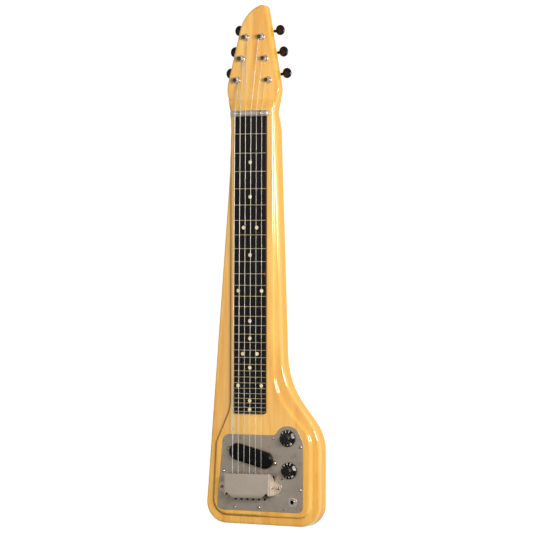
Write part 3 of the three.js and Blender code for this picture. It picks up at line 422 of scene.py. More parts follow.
def combine(first, operation, tools):
    """first changed by each tool in turn. The tools are used up."""
    for tool in tools:
        modifier = first.modifiers.new("combine", "BOOLEAN")
        modifier.solver = "EXACT"
        modifier.operation = operation
        modifier.object = tool
        settle(first)
        bpy.data.objects.remove(tool)
    return first


def cut(stock, *tools):
    return combine(stock, "DIFFERENCE", tools)


def join(first, *others):
    return combine(first, "UNION", others)


def common(first, *others):
    return combine(first, "INTERSECT", others)


def gathered(objects):
    """One object from several, which keep their own faces."""
    work = bmesh.new()
    for obj in objects:
        work.from_mesh(obj.data)
    keeper, *others = objects
    work.to_mesh(keeper.data)
    work.free()
    for obj in others:
        bpy.data.objects.remove(obj)
    return keeper


def piece(obj, name, look, slot=None, *nodes, body="guitar", bevel=0, crease=35):
    """Finishes an object drawn in millimetres, which may stand in place of the frame's nodes."""
    if bevel:
        edges = obj.modifiers.new("edges", "BEVEL")
        edges.width = bevel
        edges.segments = 2
        edges.limit_method = "ANGLE"
        edges.angle_limit = radians(crease)
        settle(obj)
    obj.name = obj.data.name = name
    obj.data.transform(Matrix.Translation(ORIGIN) @ Matrix.Scale(MM, 4))
    obj.data.shade_smooth()
    obj.data.set_sharp_from_angle(angle=radians(crease))
    obj.modifiers.new("normals", "WEIGHTED_NORMAL").keep_sharp = True
    settle(obj)
    obj.data.materials.clear()
    obj.data.materials.append(look)
    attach(obj, body)
    if nodes:
        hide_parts(*nodes)


# Materials


def add(tree, kind, inputs=None, **settings):
    """A shader node. Its inputs are values, or sockets to link."""
    made = tree.nodes.new("ShaderNode" + kind)
    for name, value in settings.items():
        setattr(made, name, value)
    for name, value in (inputs or {}).items():
        if isinstance(value, bpy.types.NodeSocket):
            tree.links.new(value, made.inputs[name])
        else:
            made.inputs[name].default_value = value
    return made


def coordinates(tree):
    """The x, y and z of a surface point in the frame, in metres."""
    return add(tree, "SeparateXYZ", {0: add(tree, "TexCoord").outputs["Object"]}).outputs


def noise(tree, across, along, detail=4, roughness=0.55, distortion=0):
    """Noise from 0 to 1, with so many waves a metre across the strings and along them."""
    place = add(tree, "TexCoord").outputs["Object"]
    scale = (across, along, across)
    spread = add(tree, "Mapping", {"Vector": place, "Scale": scale}).outputs["Vector"]
    settings = {"Scale": 1, "Detail": detail, "Roughness": roughness, "Distortion": distortion}
    return add(tree, "TexNoise", {"Vector": spread, **settings}).outputs[0]


def span(tree, value, low, high, to_low=0, to_high=1):
    """value carried from one range to another and held there."""
    limits = {0: value, 1: low, 2: high, 3: to_low, 4: to_high}
    return add(tree, "MapRange", limits).outputs[0]


def calculate(tree, operation, first, second):
    return add(tree, "Math", {0: first, 1: second}, operation=operation).outputs[0]


def times(tree, first, second):
    return calculate(tree, "MULTIPLY", first, second)


def plus(tree, first, second):
    return calculate(tree, "ADD", first, second)


def mixed(tree, factor, first, second):
    """One colour over another by a factor. Each is a socket or screen values of 0 to 255."""
    colours = {0: factor, 6: linear(first), 7: linear(second)}
    return add(tree, "Mix", colours, data_type="RGBA").outputs[2]


def inside(tree, low, high):
    """1 inside a box of the frame and 0 outside it."""
    factor = 1
    for value, least, most in zip(coordinates(tree), low, high):
        factor = times(tree, factor, calculate(tree, "GREATER_THAN", value, least))
        factor = times(tree, factor, calculate(tree, "LESS_THAN", value, most))
    return factor


def linear(colour):
    """Screen values as the shader takes them. A socket stays as it is."""
    if isinstance(colour, bpy.types.NodeSocket):
        return colour
    return (*(((c / 255 + 0.055) / 1.055) ** 2.4 for c in colour), 1)


def new_material(name, **shader):
    """A material with its shader's own values set, and its node tree."""
    material = bpy.data.materials.new(name)
    material.use_nodes = True
    tree = material.node_tree
    surface = tree.nodes["Principled BSDF"]
    for key, value in shader.items():
        surface.inputs[key.replace("_", " ").title().replace("Ior", "IOR")].default_value = value
    return material, tree


def linked(material, **sockets):
    """The material after sockets have been linked to its shader."""
    tree = material.node_tree
    for key, socket in sockets.items():
        tree.links.new(socket, tree.nodes["Principled BSDF"].inputs[key.replace("_", " ").title()])
    return material


def bumped(tree, height, distance):
    """The surface's direction after relief of a depth in metres."""
    return add(tree, "Bump", {"Height": height, "Distance": distance}).outputs["Normal"]


def lacquered_wood():
    """Amber wood with straight grain along y under clear gloss, with painted shade on the bass side of the
    step, down the walls and in the hollows.
    """
    material, tree = new_material(
        "lacquered_wood", coat_roughness=0.05, coat_ior=1.62, specular_ior_level=0.1,
    )
    broad = noise(tree, 26, 2.2, 4, 0.6, 0.8)
    grain = noise(tree, 150, 4.5, 6, 0.7, 0.5)
    pores = noise(tree, 1500, 26, 3, 0.5)
    across, along, height = coordinates(tree)
    tone = mixed(tree, span(tree, broad, 0.38, 0.62), (252, 199, 102), (237, 171, 72))
    tone = mixed(tree, span(tree, grain, 0.45, 0.7, 0, 0.55), tone, (222, 154, 62))
    tone = mixed(tree, span(tree, pores, 0.6, 0.72, 0, 0.45), tone, (198, 134, 58))
    ledge, plateau = LEDGE * MM, PLATEAU * MM
    # Painted shade: the flank of the step on the bass side, below the nut, is darkened as if in shadow.
    above_ledge = span(tree, height, ledge + 0.03 * MM, ledge + 0.1 * MM)
    step = times(tree, above_ledge, span(tree, height, plateau - 0.01 * MM, plateau - 0.2 * MM))
    bass_side = span(tree, across, at(BOARD_HALF + 2, 0, 0).x, at(BOARD_HALF - 18, 0, 0).x)
    below_nut = span(tree, along, at(0, NECK_END + 20, 0).y, at(0, NECK_END, 0).y, 0, 0.62)
    tone = mixed(tree, times(tree, step, times(tree, bass_side, below_nut)), tone, (150, 94, 34))
    # Painted shade: the walls are painted darker going down from the ledge; their gloss coat thins the same
    # way.
    side = span(tree, height, ledge - 2 * MM, ledge - 3 * EDGE * MM, 0, 0.9)
    tone = mixed(tree, side, tone, (216, 158, 52))
    # Painted shade: the hollows under the control plate are darkened almost to black.
    tone = mixed(tree, inside(tree, at(-42, -50, 3), at(88, 84, PLATEAU - 0.7)), tone, (34, 24, 18))
    dings = noise(tree, 95, 70, 5, 0.6)
    tone = mixed(tree, span(tree, dings, 0.76, 0.78, 0, 0.6), tone, (150, 96, 44))
    gloss = span(tree, noise(tree, 40, 12), 0.3, 0.7, 0.26, 0.42)
    relief = bumped(tree, plus(tree, times(tree, grain, 0.5), noise(tree, 70, 60, 2)), 0.00012)
    coat = calculate(tree, "SUBTRACT", 1, side)
    return linked(material, base_color=tone, roughness=gloss, coat_weight=coat, normal=relief)


def black_board():
    """A dull black board with light scratches along the strings and chips on its treble edge."""
    material, tree = new_material("black_board", specular_ior_level=0.2)
    edge = at(BOARD_HALF, 0, 0).x
    near_edge = span(tree, coordinates(tree)[0], edge - 2.6 * MM, edge - 1.2 * MM)
    chips = span(tree, noise(tree, 160, 42), 0.65, 0.69)
    scratches = noise(tree, 1400, 9, 4, 0.7)
    tone = mixed(tree, span(tree, noise(tree, 30, 8), 0.35, 0.7), (12, 10, 9), (24, 20, 18))
    tone = mixed(tree, span(tree, scratches, 0.62, 0.72, 0, 0.25), tone, (82, 74, 66))
    tone = mixed(tree, times(tree, near_edge, chips), tone, (126, 62, 34))
    rough = span(tree, scratches, 0.3, 0.7, 0.34, 0.55)
    return linked(material, base_color=tone, roughness=rough, normal=bumped(tree, scratches, 0.00003))


def metal(
    name, clean, stain, dullness=(0.25, 0.45), cover=(0.5, 0.7), blotch=120, brushed=(900, 900),
    depth=0.8, **shader,
):
    """Plated metal, stained in blotches of a given count a metre and finely marked."""
    material, tree = new_material(name, **{"metallic": 1.0, **shader})
    blotches = noise(tree, blotch, blotch, 6, 0.65, 0.6)
    clouds = noise(tree, blotch / 5, blotch / 5, 4, 0.6, 1.2)
    marks = noise(tree, *brushed, 3, 0.6)
    spots = noise(tree, blotch * 8, blotch * 8, 2)
    age = times(tree, span(tree, blotches, *cover), span(tree, clouds, 0.3, 0.62))
    tone = mixed(tree, span(tree, clouds, 0.3, 0.7, 0, 0.3), clean, stain)
    tone = mixed(tree, times(tree, age, depth), tone, stain)
    tone = mixed(tree, span(tree, spots, 0.64, 0.72, 0, 0.4), tone, (92, 70, 48))
    rough = plus(tree, span(tree, marks, 0.2, 0.8, *dullness), times(tree, age, 0.18))
    relief = plus(tree, marks, times(tree, blotches, 0.6))
    return linked(material, base_color=tone, roughness=rough, normal=bumped(tree, relief, 0.00002))


def overlaid(material, factor, tone):
    """The material with one more tone laid over its own by a factor."""
    tree = material.node_tree
    colour = tree.nodes["Principled BSDF"].inputs["Base Color"]
    tree.links.new(mixed(tree, factor, colour.links[0].from_socket, tone), colour)
    return material


def cover_metal():
    """Satin plating with a painted highlight on the treble wall, rusty at the head side's edge and with
    painted shade within.
    """
    material = metal(
        "cover_metal", (222, 207, 189), (194, 177, 158), (0.26, 0.36), blotch=90, brushed=(1300, 500),
        depth=0.4, metallic=0.75,
    )
    tree = material.node_tree
    across, along, height = coordinates(tree)
    wall = at(COVER_X + COVER_HALF - COVER_BEND, 0, 0).x
    # Painted highlight: the treble wall above the ears is painted lighter, in patches.
    painted_light_patches = span(tree, noise(tree, 300, 160), 0.35, 0.6, 0.4, 1)
    painted_wall_light = times(tree, span(tree, across, wall + 2 * MM, wall + 4 * MM), painted_light_patches)
    painted_wall_light = times(tree, painted_wall_light, span(tree, height, (PLATE_TOP + 1.5) * MM, (PLATE_TOP + 3.5) * MM))
    overlaid(material, painted_wall_light, (246, 238, 226))
    edge = at(0, COVER_HEAD_SIDE, 0).y
    rim = span(tree, along, edge - 1.1 * MM, edge - 0.5 * MM)
    rust = times(tree, rim, span(tree, noise(tree, 260, 260, 3), 0.35, 0.55))
    overlaid(material, rust, (104, 74, 50))
    # Painted shade: the cover's inner faces are darkened almost to black.
    half = COVER_HALF - COVER_SHEET + 0.1
    low = at(COVER_X - half, -COVER_TAIL_SIDE, 0)
    high = at(COVER_X + half, COVER_HEAD_SIDE - COVER_SHEET, COVER_TOP - COVER_SHEET + 0.1)
    return overlaid(material, inside(tree, low, high), (30, 25, 20))


def plate_metal():
    """Dull grey plating, with painted shade under the bridge cover."""
    material = metal(
        "plate_metal", (190, 177, 161), (156, 141, 123), (0.3, 0.44), blotch=110, brushed=(700, 1400),
        depth=0.7, metallic=0.75,
    )
    # Painted shade: the plate under the bridge cover is darkened.
    low = at(COVER_X - COVER_HALF, -COVER_TAIL_SIDE, 0)
    high = at(COVER_X + COVER_HALF, COVER_HEAD_SIDE - 4, PLATE_TOP + 1)
    return overlaid(material, inside(material.node_tree, low, high), (48, 38, 30))


def post_metal():
    """Aged plating, darker brown on the tops."""
    material = metal("aged_nickel", (196, 180, 158), (120, 98, 74), (0.22, 0.36), blotch=300)
    tree = material.node_tree
    height = coordinates(tree)[2]
    top = span(tree, height, (POST_TOP - 0.5) * MM, (POST_TOP - 0.1) * MM, 0, 0.92)
    return overlaid(material, top, (92, 72, 52))


def plastic(name, tone, worn, dullness=(0.12, 0.28), **shader):
    """Moulded plastic with fine handling marks and dulled patches."""
    material, tree = new_material(name, **shader)
    patches = noise(tree, 110, 110, 5, 0.6)
    marks = noise(tree, 1300, 500, 3, 0.7)
    colour = mixed(tree, span(tree, patches, 0.4, 0.7), tone, worn)
    rough = plus(tree, span(tree, patches, 0.3, 0.7, *dullness), span(tree, marks, 0.5, 0.8, 0, 0.15))
    return linked(material, base_color=colour, roughness=rough, normal=bumped(tree, marks, 0.000012))


def wrapped(name, axis, waves, tones, marks, cover, dullness, relief, **shader):
    """Wire or tape wound in turns along an axis, with marks of a third tone."""
    material, tree = new_material(name, **shader)
    settings = {"Vector": add(tree, "TexCoord").outputs["Object"], **waves}
    turns = add(tree, "TexWave", settings, bands_direction=axis).outputs[1]
    grime = noise(tree, *marks)
    *pair, stain = tones
    tone = mixed(tree, span(tree, grime, *cover, 0, 0.5), mixed(tree, turns, *pair), stain)
    rough = span(tree, grime, 0.3, 0.7, *dullness)
    return linked(material, base_color=tone, roughness=rough, normal=bumped(tree, turns, relief))


WOOD = lacquered_wood()
BOARD = black_board()
PLATE = plate_metal()
COVER = cover_metal()
NICKEL = metal("nickel", (238, 228, 216), (176, 154, 128), (0.14, 0.3), blotch=220, metallic=0.75)
SATIN_NICKEL = metal("satin_nickel", (206, 196, 184), (164, 152, 138), (0.34, 0.46), blotch=150, metallic=0.7)
AGED_NICKEL = post_metal()
SCREW_METAL = metal("screw_metal", (240, 230, 216), (168, 104, 66), (0.14, 0.26), (0.52, 0.62), blotch=420)
RUSTY = metal("rusty_steel", (140, 120, 98), (92, 58, 34), (0.4, 0.6), (0.4, 0.6), blotch=260)
FRET_METAL = metal("fret_metal", (236, 222, 164), (186, 166, 110), (0.22, 0.4), blotch=180)
BRASS = metal("brass", (168, 152, 110), (104, 90, 58), (0.3, 0.5), (0.4, 0.6), blotch=200)
STEEL = metal("string_steel", (242, 236, 228), (214, 204, 192), (0.3, 0.42), blotch=90, metallic=0.4)
WOUND = wrapped(
    "wound_steel", "Y", {"Scale": 560, "Distortion": 0.2, "Detail": 1},
    ((184, 175, 164), (226, 219, 209), (160, 142, 120)),
    (200, 30), (0.55, 0.75), (0.32, 0.5), 0.00001, metallic=0.6,
)
BLACK = plastic("black_plastic", (9, 9, 8), (18, 15, 13), specular_ior_level=0.35)
MATT_BLACK = plastic("matt_plastic", (8, 8, 8), (16, 14, 12), specular_ior_level=0.16)
BUTTON_BLACK = plastic("button_plastic", (20, 13, 9), (32, 21, 14), (0.14, 0.3), specular_ior_level=0.35)
PAINT = plastic("white_paint", (226, 224, 214), (190, 186, 172), (0.4, 0.6))
INLAY = plastic("inlay", (246, 230, 184), (222, 196, 140), (0.2, 0.35))
COPPERY = metal("coppery_screw", (226, 178, 140), (146, 88, 52), (0.16, 0.3), (0.4, 0.55), blotch=420)
COIL = wrapped(
    "coil_wrap", "Z", {"Scale": 150, "Distortion": 1}, ((96, 54, 30), (140, 82, 46), (70, 38, 20)),
    (900, 900, 3), (0.5, 0.8), (0.5, 0.8), 0.0001,
)
MAGNET = metal("magnet", (104, 104, 106), (66, 62, 58), (0.4, 0.6), blotch=300)


# Body and board


def places(spacing):
    """The six places across the strings at a spacing, from bass to treble."""
    count = len(STRING_DIAMETERS)
    return [(index - (count - 1) / 2) * spacing for index in range(count)]


def along_pickup(distance):
    """A place at a distance along the slanted pickup from its middle."""
    x, y = PICKUP_PLACE
    return x + distance * cos(PICKUP_ANGLE), y + distance * sin(PICKUP_ANGLE)


def hole(x, y, radius, bottom=PLATE_CUT[0], top=PLATE_CUT[1], sides=24):
    """A round cutting tool, which goes through the control plate unless its levels are given."""
    return moved(turned([(radius, bottom), (radius, top)], sides), x, y)


def coil_opening(gap, bottom, top):
    """A cutting tool round the pickup's coil, drawn at the origin."""
    return raised(stadium(PICKUP_HALF - PICKUP_RADIUS + COIL_RADIUS + gap, COIL_RADIUS + gap), bottom, top)


def tuner_strips():
    """The two strips of tuners: side, middle, posts from the nut to the tip, and turn about z."""
    strips = []
    for side in (-1, 1):
        along = radians(90 + side * STRIP_ANGLE + HEAD_LEAN)
        middle = Vector((side * TUNER_SPREAD, STRING_LENGTH + TUNER_ROW))
        step = Vector((cos(along), sin(along))) * TUNER_PITCH
        strips.append((side, middle, [middle + step * row for row in (-1, 0, 1)], along - side * pi / 2))
    return strips


STRIPS = tuner_strips()


def trunk_guard():
    """The side view of the part below the nut, which ramps to the thinner head at both faces."""
    ramp, end = STRING_LENGTH - 55.9, STRING_LENGTH + 22
    profile = [
        (-72, -5), (ramp, -5), (end - 8, HEAD_BACK), (end, HEAD_BACK + 0.3),
        (end, HEAD_FACE), (STRING_LENGTH - 3.5, BOARD_TOP), (-72, BOARD_TOP),
    ]
    return prism(profile, "x", -200, 200)


def step_profile():
    """The rounded step of the plateau, as distances in from its outline and levels."""
    angles = evenly(8)
    run, rise = PLATEAU_RUN - FILLET, PLATEAU_RISE - FILLET
    foot = [(FILLET * sin(a), LEDGE + FILLET * (1 - cos(a))) for a in angles[:-1]]
    crown = [(PLATEAU_RUN - run * cos(a), LEDGE + FILLET + rise * sin(a)) for a in angles]
    return [(0, STEP_ROOT), *foot, *crown]


def make_body():
    shape = rounded(BODY_CORNERS, 14)
    slab = raised(shape, 0, LEDGE, EDGE, EDGE)
    outline = rounded(PLATEAU_CORNERS, 14)
    hill = loft([inset(outline, *step) for step in step_profile()])
    upper = common(hill, raised(shape, LEDGE - PLATEAU_RISE, BOARD_TOP))
    trunk = common(join(slab, upper), trunk_guard())
    zone = block(-200, 200, STRING_LENGTH + 10, STRING_LENGTH + HEAD_LENGTH + 5, 0, BOARD_TOP)
    within = [(point - outward * 0.02, outward) for point, outward in shape]
    head = common(raised(within, HEAD_BACK, HEAD_FACE, EDGE, EDGE), zone)
    wood = join(trunk, head)
    recess, half = ANCHOR_HALF + GAP, ANCHOR_HALF_WIDTH + GAP
    above = PLATEAU + OVERRUN
    cut(
        wood,
        moved(coil_opening(COIL_SPACE_GAP, COIL_SPACE_FLOOR, above), *PICKUP_PLACE, 0, PICKUP_ANGLE),
        raised(rounded(POCKET_CORNERS, 6), POCKET_FLOOR, above),
        block(*WIRE_CHANNEL, WIRE_CHANNEL_FLOOR, above),
        block(-recess, recess, STRING_HOLE_Y - half, STRING_HOLE_Y + half, -OVERRUN, ANCHOR_LEVELS[1]),
        gathered([hole(x, STRING_HOLE_Y, STRING_HOLE, 3, above) for x in places(HOLE_SPACING)]),
        gathered([hole(*post, POST_HOLE, 0, PLATEAU) for _, _, posts, _ in STRIPS for post in posts]),
        gathered([hole(x, y, SCREW_HOLE, PLATEAU - SCREW_DEPTH, above, 16) for x, y in screw_places()]),
    )
    piece(wood, "wood_body", WOOD, "lacquered_wood", "body", crease=28)


def screw_places():
    """Where wood screws go into the body."""
    return [
        along_pickup(-PICKUP_SCREW_HALF), along_pickup(PICKUP_SCREW_HALF),
        (-COVER_EAR, COVER_EAR_Y), (COVER_EAR, COVER_EAR_Y),
        (-NUT_SCREW_X, STRING_LENGTH), (NUT_SCREW_X, STRING_LENGTH),
    ]


def fret_place(number):
    return STRING_LENGTH * FRET_SHARE ** number


def make_fretboard():
    corners = (
        (BOARD_HALF, BOARD_END, 0.4), (-BOARD_HALF, BOARD_END, 0.4),
        (-BOARD_HALF, BOARD_START, 3), (BOARD_HALF, BOARD_START, 3),
    )
    board = raised(rounded(corners, 6), PLATEAU, BOARD_TOP, BOARD_EDGE, BOARD_EDGE, 3, below=False)
    piece(board, "board", BOARD, "black_board", "fretboard")
    crown = [(FRET_HALF_WIDTH * cos(a), FRET_RISE * sin(a)) for a in evenly(6, pi)]
    crown += [(-0.5, -SUNK), (0.5, -SUNK)]
    frets = []
    for number in range(1, FRET_COUNT + 1):
        outline = [(fret_place(number) + along, BOARD_TOP + up) for along, up in crown]
        frets.append(prism(outline, "x", -BOARD_HALF, BOARD_HALF))
    piece(gathered(frets), "frets", FRET_METAL, "brass")
    profile = lifted([(0, -SUNK), (DOT_RADIUS, -SUNK), (DOT_RADIUS, 0.02), (0, 0.1)], BOARD_TOP)
    dots = []
    for number in (*SINGLE_DOTS, *PAIRED_DOTS):
        middle = (fret_place(number) + fret_place(number - 1)) / 2
        apart = PAIRED_DOTS.get(number, 0)
        dots += [moved(turned(profile, 32), x, middle) for x in sorted({-apart, apart})]
    piece(gathered(dots), "dot_inlays", INLAY)


def make_nut():
    bar = raised(stadium(NUT_HALF, NUT_RADIUS), PLATEAU, NUT_TOP, NUT_ROUND, NUT_ROUND, 8, below=False)
    moved(bar, y=STRING_LENGTH)
    for x in (-NUT_SCREW_X, NUT_SCREW_X):
        sink = hole(x, STRING_LENGTH, COUNTERSINK, NUT_SEAT, NUT_TOP + OVERRUN)
        cut(bar, sink, hole(x, STRING_LENGTH, SCREW_HOLE, PLATEAU - OVERRUN, NUT_TOP, 16))
    for x in places(NUT_SPACING):
        groove = laid(turned([(NUT_GROOVE, -8), (NUT_GROOVE, 8)], 16), pi / 2)
        cut(bar, moved(groove, x, STRING_LENGTH, NUT_STRING_LEVEL - 0.2))
    piece(bar, "nut_bar", SATIN_NICKEL, "nickel", "nut", bevel=0.15)
    for number, x in enumerate((-NUT_SCREW_X, NUT_SCREW_X), 1):
        make_screw(f"nut_screw_{number}", x, STRING_LENGTH, NUT_SEAT)


# Screws


def screw_head(radius, height, base, slot_turn):
    """A domed screw head with a slot."""
    dome = [(radius * cos(a), base + height * (0.3 + 0.7 * sin(a))) for a in evenly(8)]
    head = turned([(0, base), (radius, base), *dome], 28)
    slot = block(-radius * 2, radius * 2, -SLOT_HALF, SLOT_HALF, base + height * 0.55, base + height * 2)
    return cut(head, moved(slot, turn=slot_turn))


def make_screw(name, x, y, level, look=SCREW_METAL):
    """A wood screw in place of a CAD node."""
    turn = random.Random(name).uniform(0, pi)
    tip, neck = level - SCREW_DEPTH, level + SUNK
    shank = turned([(0, tip), (SHANK_RADIUS, tip + 3), (SHANK_RADIUS, neck), (0, neck)], 16)
    screw = moved(gathered([screw_head(*SCREW_HEAD, level, turn), shank]), x, y)
    piece(screw, f"{name}_slotted", look, "nickel", name)


# Control plate, pickup and bridge


def make_plate():
    plate = raised(rounded(PLATE_CORNERS, 12), PLATEAU, PLATE_TOP, 0.3, 0.3, 3, below=False)
    holes = [hole(x, y, KNOB_HOLE, sides=32) for x, y in KNOBS]
    holes += [hole(*JACK, JACK_HOLE, sides=32), hole(*SPARE_HOLE, SPARE_RADIUS)]
    holes += [hole(x, STRING_HOLE_Y, STRING_HOLE) for x in places(HOLE_SPACING)]
    holes += [hole(x, y, SCREW_HOLE) for x, y in screw_places()[:4]]
    seat = PLATE_TOP - PLATE_SINK
    holes += [hole(x, y, COUNTERSINK, seat, PLATE_CUT[1], 28) for x, y in PLATE_SCREWS]
    cut(plate, gathered(holes), moved(coil_opening(GAP, *PLATE_CUT), *PICKUP_PLACE, 0, PICKUP_ANGLE))
    piece(plate, "plate_sheet", PLATE, "plate_metal", "control_plate")
    maker = random.Random("plate")
    heads = [moved(screw_head(*PLATE_HEAD, seat, maker.uniform(0, pi)), x, y) for x, y in PLATE_SCREWS]
    piece(gathered(heads), "plate_screws", SCREW_METAL, "nickel")


def make_pickup():
    outline = stadium(PICKUP_HALF, PICKUP_RADIUS, 20)
    top, low = PICKUP_TOP, PICKUP_TOP - 0.3
    profile = [(0, FLANGE_TOP)]
    profile += [(CAP_ROUND * (1 - cos(a)), top - CAP_ROUND * (1 - sin(a))) for a in evenly(8)]
    profile += [(CAP_ROUND + reach, level) for reach, level in ((0.9, top), (1, low), (1.5, low), (1.6, top))]
    cap = loft([inset(outline, *step) for step in profile])
    hollow = stadium(PICKUP_HALF - CAP_WALL, PICKUP_RADIUS - CAP_WALL)
    cut(cap, raised(hollow, PLATEAU - 0.5, top - 2 * CAP_WALL))
    moved(cap, *PICKUP_PLACE, 0, PICKUP_ANGLE)
    piece(cap, "pickup_cap", MATT_BLACK, "black_plastic", "pickup_cover")

    ends = (-PICKUP_SCREW_HALF, PICKUP_SCREW_HALF)
    rim = raised(stadium(PICKUP_HALF + FLANGE_REACH, PICKUP_RADIUS + FLANGE_REACH), PLATE_TOP, FLANGE_TOP)
    join(rim, *[hole(x, 0, FLANGE_EAR, PLATE_TOP, FLANGE_TOP) for x in ends])
    cut(rim, coil_opening(GAP, *PLATE_CUT), gathered([hole(x, 0, SCREW_HOLE) for x in ends]))
    moved(rim, *PICKUP_PLACE, 0, PICKUP_ANGLE)
    piece(rim, "pickup_rim", BRASS, "brass", "pickup_flange", bevel=0.15)
    for number, distance in enumerate(ends, 1):
        make_screw(f"pickup_screw_{number}", *along_pickup(distance), FLANGE_TOP)


def cover_channel():
    """The cover's sheet seen along the strings: a channel with two bends."""
    centre = COVER_HALF - COVER_BEND
    level = COVER_TOP - COVER_BEND

    def bends(radius):
        left = [(-centre - radius * cos(a), level + radius * sin(a)) for a in evenly(8)]
        return left + [(-x, z) for x, z in reversed(left)]

    outer = [(-COVER_HALF, PLATE_TOP), *bends(COVER_BEND), (COVER_HALF, PLATE_TOP)]
    within = COVER_HALF - COVER_SHEET
    return [*outer, (within, PLATE_TOP), *reversed(bends(COVER_BEND - COVER_SHEET)), (-within, PLATE_TOP)]


def wall_cutter():
    """What the curved edge of both walls leaves away, seen along x."""
    front, under = COVER_HEAD_SIDE + OVERRUN, PLATE_TOP - OVERRUN
    lip = COVER_TOP - COVER_LIP
    edge = curved((COVER_HEAD_SIDE, lip), COVER_WALL_BEND, (COVER_FOOT, PLATE_TOP), 12)
    return prism([(front, under), (front, lip), *edge, (COVER_FOOT, under)], "x", -60, 60)


def cover_flap():
    """The flap at the tail side, which slopes down and narrows."""
    bend = -COVER_TAIL_SIDE
    tip, drop = bend - COVER_FLAP_REACH, COVER_FLAP_REACH * COVER_FLAP_SLOPE
    upper = [(bend + OVERRUN, COVER_TOP), (bend, COVER_TOP), (tip, COVER_TOP - drop)]
    slope = upper + [(y, z - COVER_SHEET) for y, z in reversed(upper)]
    (apex_x, apex_y), (flap_x, flap_y) = COVER_NOTCH, COVER_FLAP
    corners = [(-flap_x, flap_y, 1.5), (flap_x, flap_y, 1.5), (apex_x, apex_y, 0.3), (-apex_x, apex_y, 0.3)]
    plan = prism([point for point, _ in rounded(corners, 6)], "z", PLATE_TOP, COVER_TOP + OVERRUN)
    return common(prism(slope, "x", -COVER_HALF, COVER_HALF), plan)


def make_cover():
    channel = prism(cover_channel(), "y", -COVER_TAIL_SIDE, COVER_HEAD_SIDE)
    cut(channel, wall_cutter())
    for side in (-1, 1):
        notch = [(side * x, y) for x, y in (COVER_NOTCH, COVER_NOTCH_MOUTH, COVER_FLAP)]
        cut(channel, prism(notch, "z", PLATE_TOP + COVER_SHEET, COVER_TOP + OVERRUN))
    cover = moved(join(channel, cover_flap()), COVER_X)
    for side in (-1, 1):
        join(cover, cover_ear(side))
    cut(cover, block(*COVER_SLOT), *[hole(side * COVER_EAR, COVER_EAR_Y, SCREW_HOLE) for side in (-1, 1)])
    piece(cover, "cover_sheet", COVER, "plate_metal", "bridge_cover", bevel=0.22)
    for number, side in enumerate((-1, 1), 1):
        place = (side * COVER_EAR, COVER_EAR_Y, PLATE_TOP + COVER_SHEET)
        make_screw(f"cover_screw_{number}", *place, COPPERY)


def cover_ear(side):
    """A lug of the cover: a curved tab on the plate."""
    root, tip = side * (COVER_HALF - COVER_SHEET) + COVER_X, side * COVER_EAR_TIP
    outline = curved((root, COVER_EAR_Y - 11), (tip, COVER_EAR_Y - 8.8), (tip, COVER_EAR_Y), 10)[:-1]
    outline += curved((tip, COVER_EAR_Y), (tip, COVER_FOOT - 1.1), (root, COVER_FOOT), 10)
    return prism(outline, "z", PLATE_TOP, PLATE_TOP + COVER_SHEET)


def make_bridge():
    ridge = BRIDGE_STRING_LEVEL - STRING_DIAMETERS[0] / 2 - 0.6 - SADDLE_CROWN
    half, height = SADDLE_FOOT
    crown = [(SADDLE_CROWN * cos(a), ridge + SADDLE_CROWN * sin(a)) for a in evenly(10, pi)]
    shoulder = PLATE_TOP + height
    profile = [(-half, PLATE_TOP), (half, PLATE_TOP), (half, shoulder), *crown, (-half, shoulder)]
    saddle = prism(profile, "x", -SADDLE_HALF, SADDLE_HALF)
    piece(saddle, "saddle_bar", RUSTY, "nickel", "bridge_saddle", bevel=0.2)

    ends = (STRING_HOLE_Y - ANCHOR_HALF_WIDTH, STRING_HOLE_Y + ANCHOR_HALF_WIDTH)
    bar = block(-ANCHOR_HALF, ANCHOR_HALF, *ends, *ANCHOR_LEVELS)
    cut(bar, gathered([hole(x, STRING_HOLE_Y, 1.2, 0, 8) for x in places(HOLE_SPACING)]))
    piece(bar, "anchor_bar", NICKEL, "nickel", "string_anchor", bevel=0.3)


# Knobs and jack


def numeral(text, angle, foot):
    """A numeral laid on the cone of a knob's skirt, which reads from its outside."""
    curve = bpy.data.curves.new("numeral", "FONT")
    curve.body = text
    curve.size = NUMERAL_SIZE
    curve.align_x = curve.align_y = "CENTER"
    curve.extrude = 0.06
    curve.offset = 0.12
    drawn = placed("numeral", curve)
    mesh = made_mesh(drawn)
    bpy.data.objects.remove(drawn)
    made = moved(placed("numeral", mesh), turn=angle + pi / 2)
    moved(made, NUMERAL_CIRCLE * cos(angle), NUMERAL_CIRCLE * sin(angle))
    edge, rise = SKIRT_BEND
    for vertex in made.data.vertices:
        vertex.co.z += foot + rise + (edge - hypot(vertex.co.x, vertex.co.y)) * SKIRT_SLOPE
    return made


def make_knob(number, x, y):
    foot = PLATE_TOP + KNOB_LIFT
    top = PLATE_TOP + KNOB_TOP
    edge, rise = SKIRT_BEND

    def fluted(radius, level, angle):
        return radius - 0.25 * (1 - cos(FLUTES * angle)) if radius > 12 else radius

    hub = [(HUB_RADIUS - HUB_ROUND * (1 - cos(a)), top - HUB_ROUND * (1 - sin(a))) for a in evenly(6)]
    skirt = [(3, 12), (3, 4.6), (6.5, 4.6), (6.5, 0), (edge, 0), (SKIRT_RADIUS, 0.3), (SKIRT_RADIUS, 1.7)]
    skirt += [(edge, rise), (9, rise + (edge - 9) * SKIRT_SLOPE), (8.1, 5), (7.6, 6.2)]
    profile = [*lifted(skirt, foot), *hub, (0, top), (0, foot + 12)]
    knob = turned(profile, 120, reach=fluted)
    body = f"knob_{number}"
    piece(moved(knob, x, y), f"{body}_turned", BLACK, "black_plastic", body, body=body)
    angles = [radians(NUMERAL_START + value * NUMERAL_STEP) for value in range(11)]
    marks = [numeral(str(value), angle, foot) for value, angle in enumerate(angles)]
    pointer = block(HUB_RADIUS - 0.3, HUB_RADIUS + 0.06, -0.5, 0.5, foot + 6.8, top - HUB_ROUND)
    piece(moved(gathered([*marks, pointer]), x, y), f"{body}_numerals", PAINT, body=body)


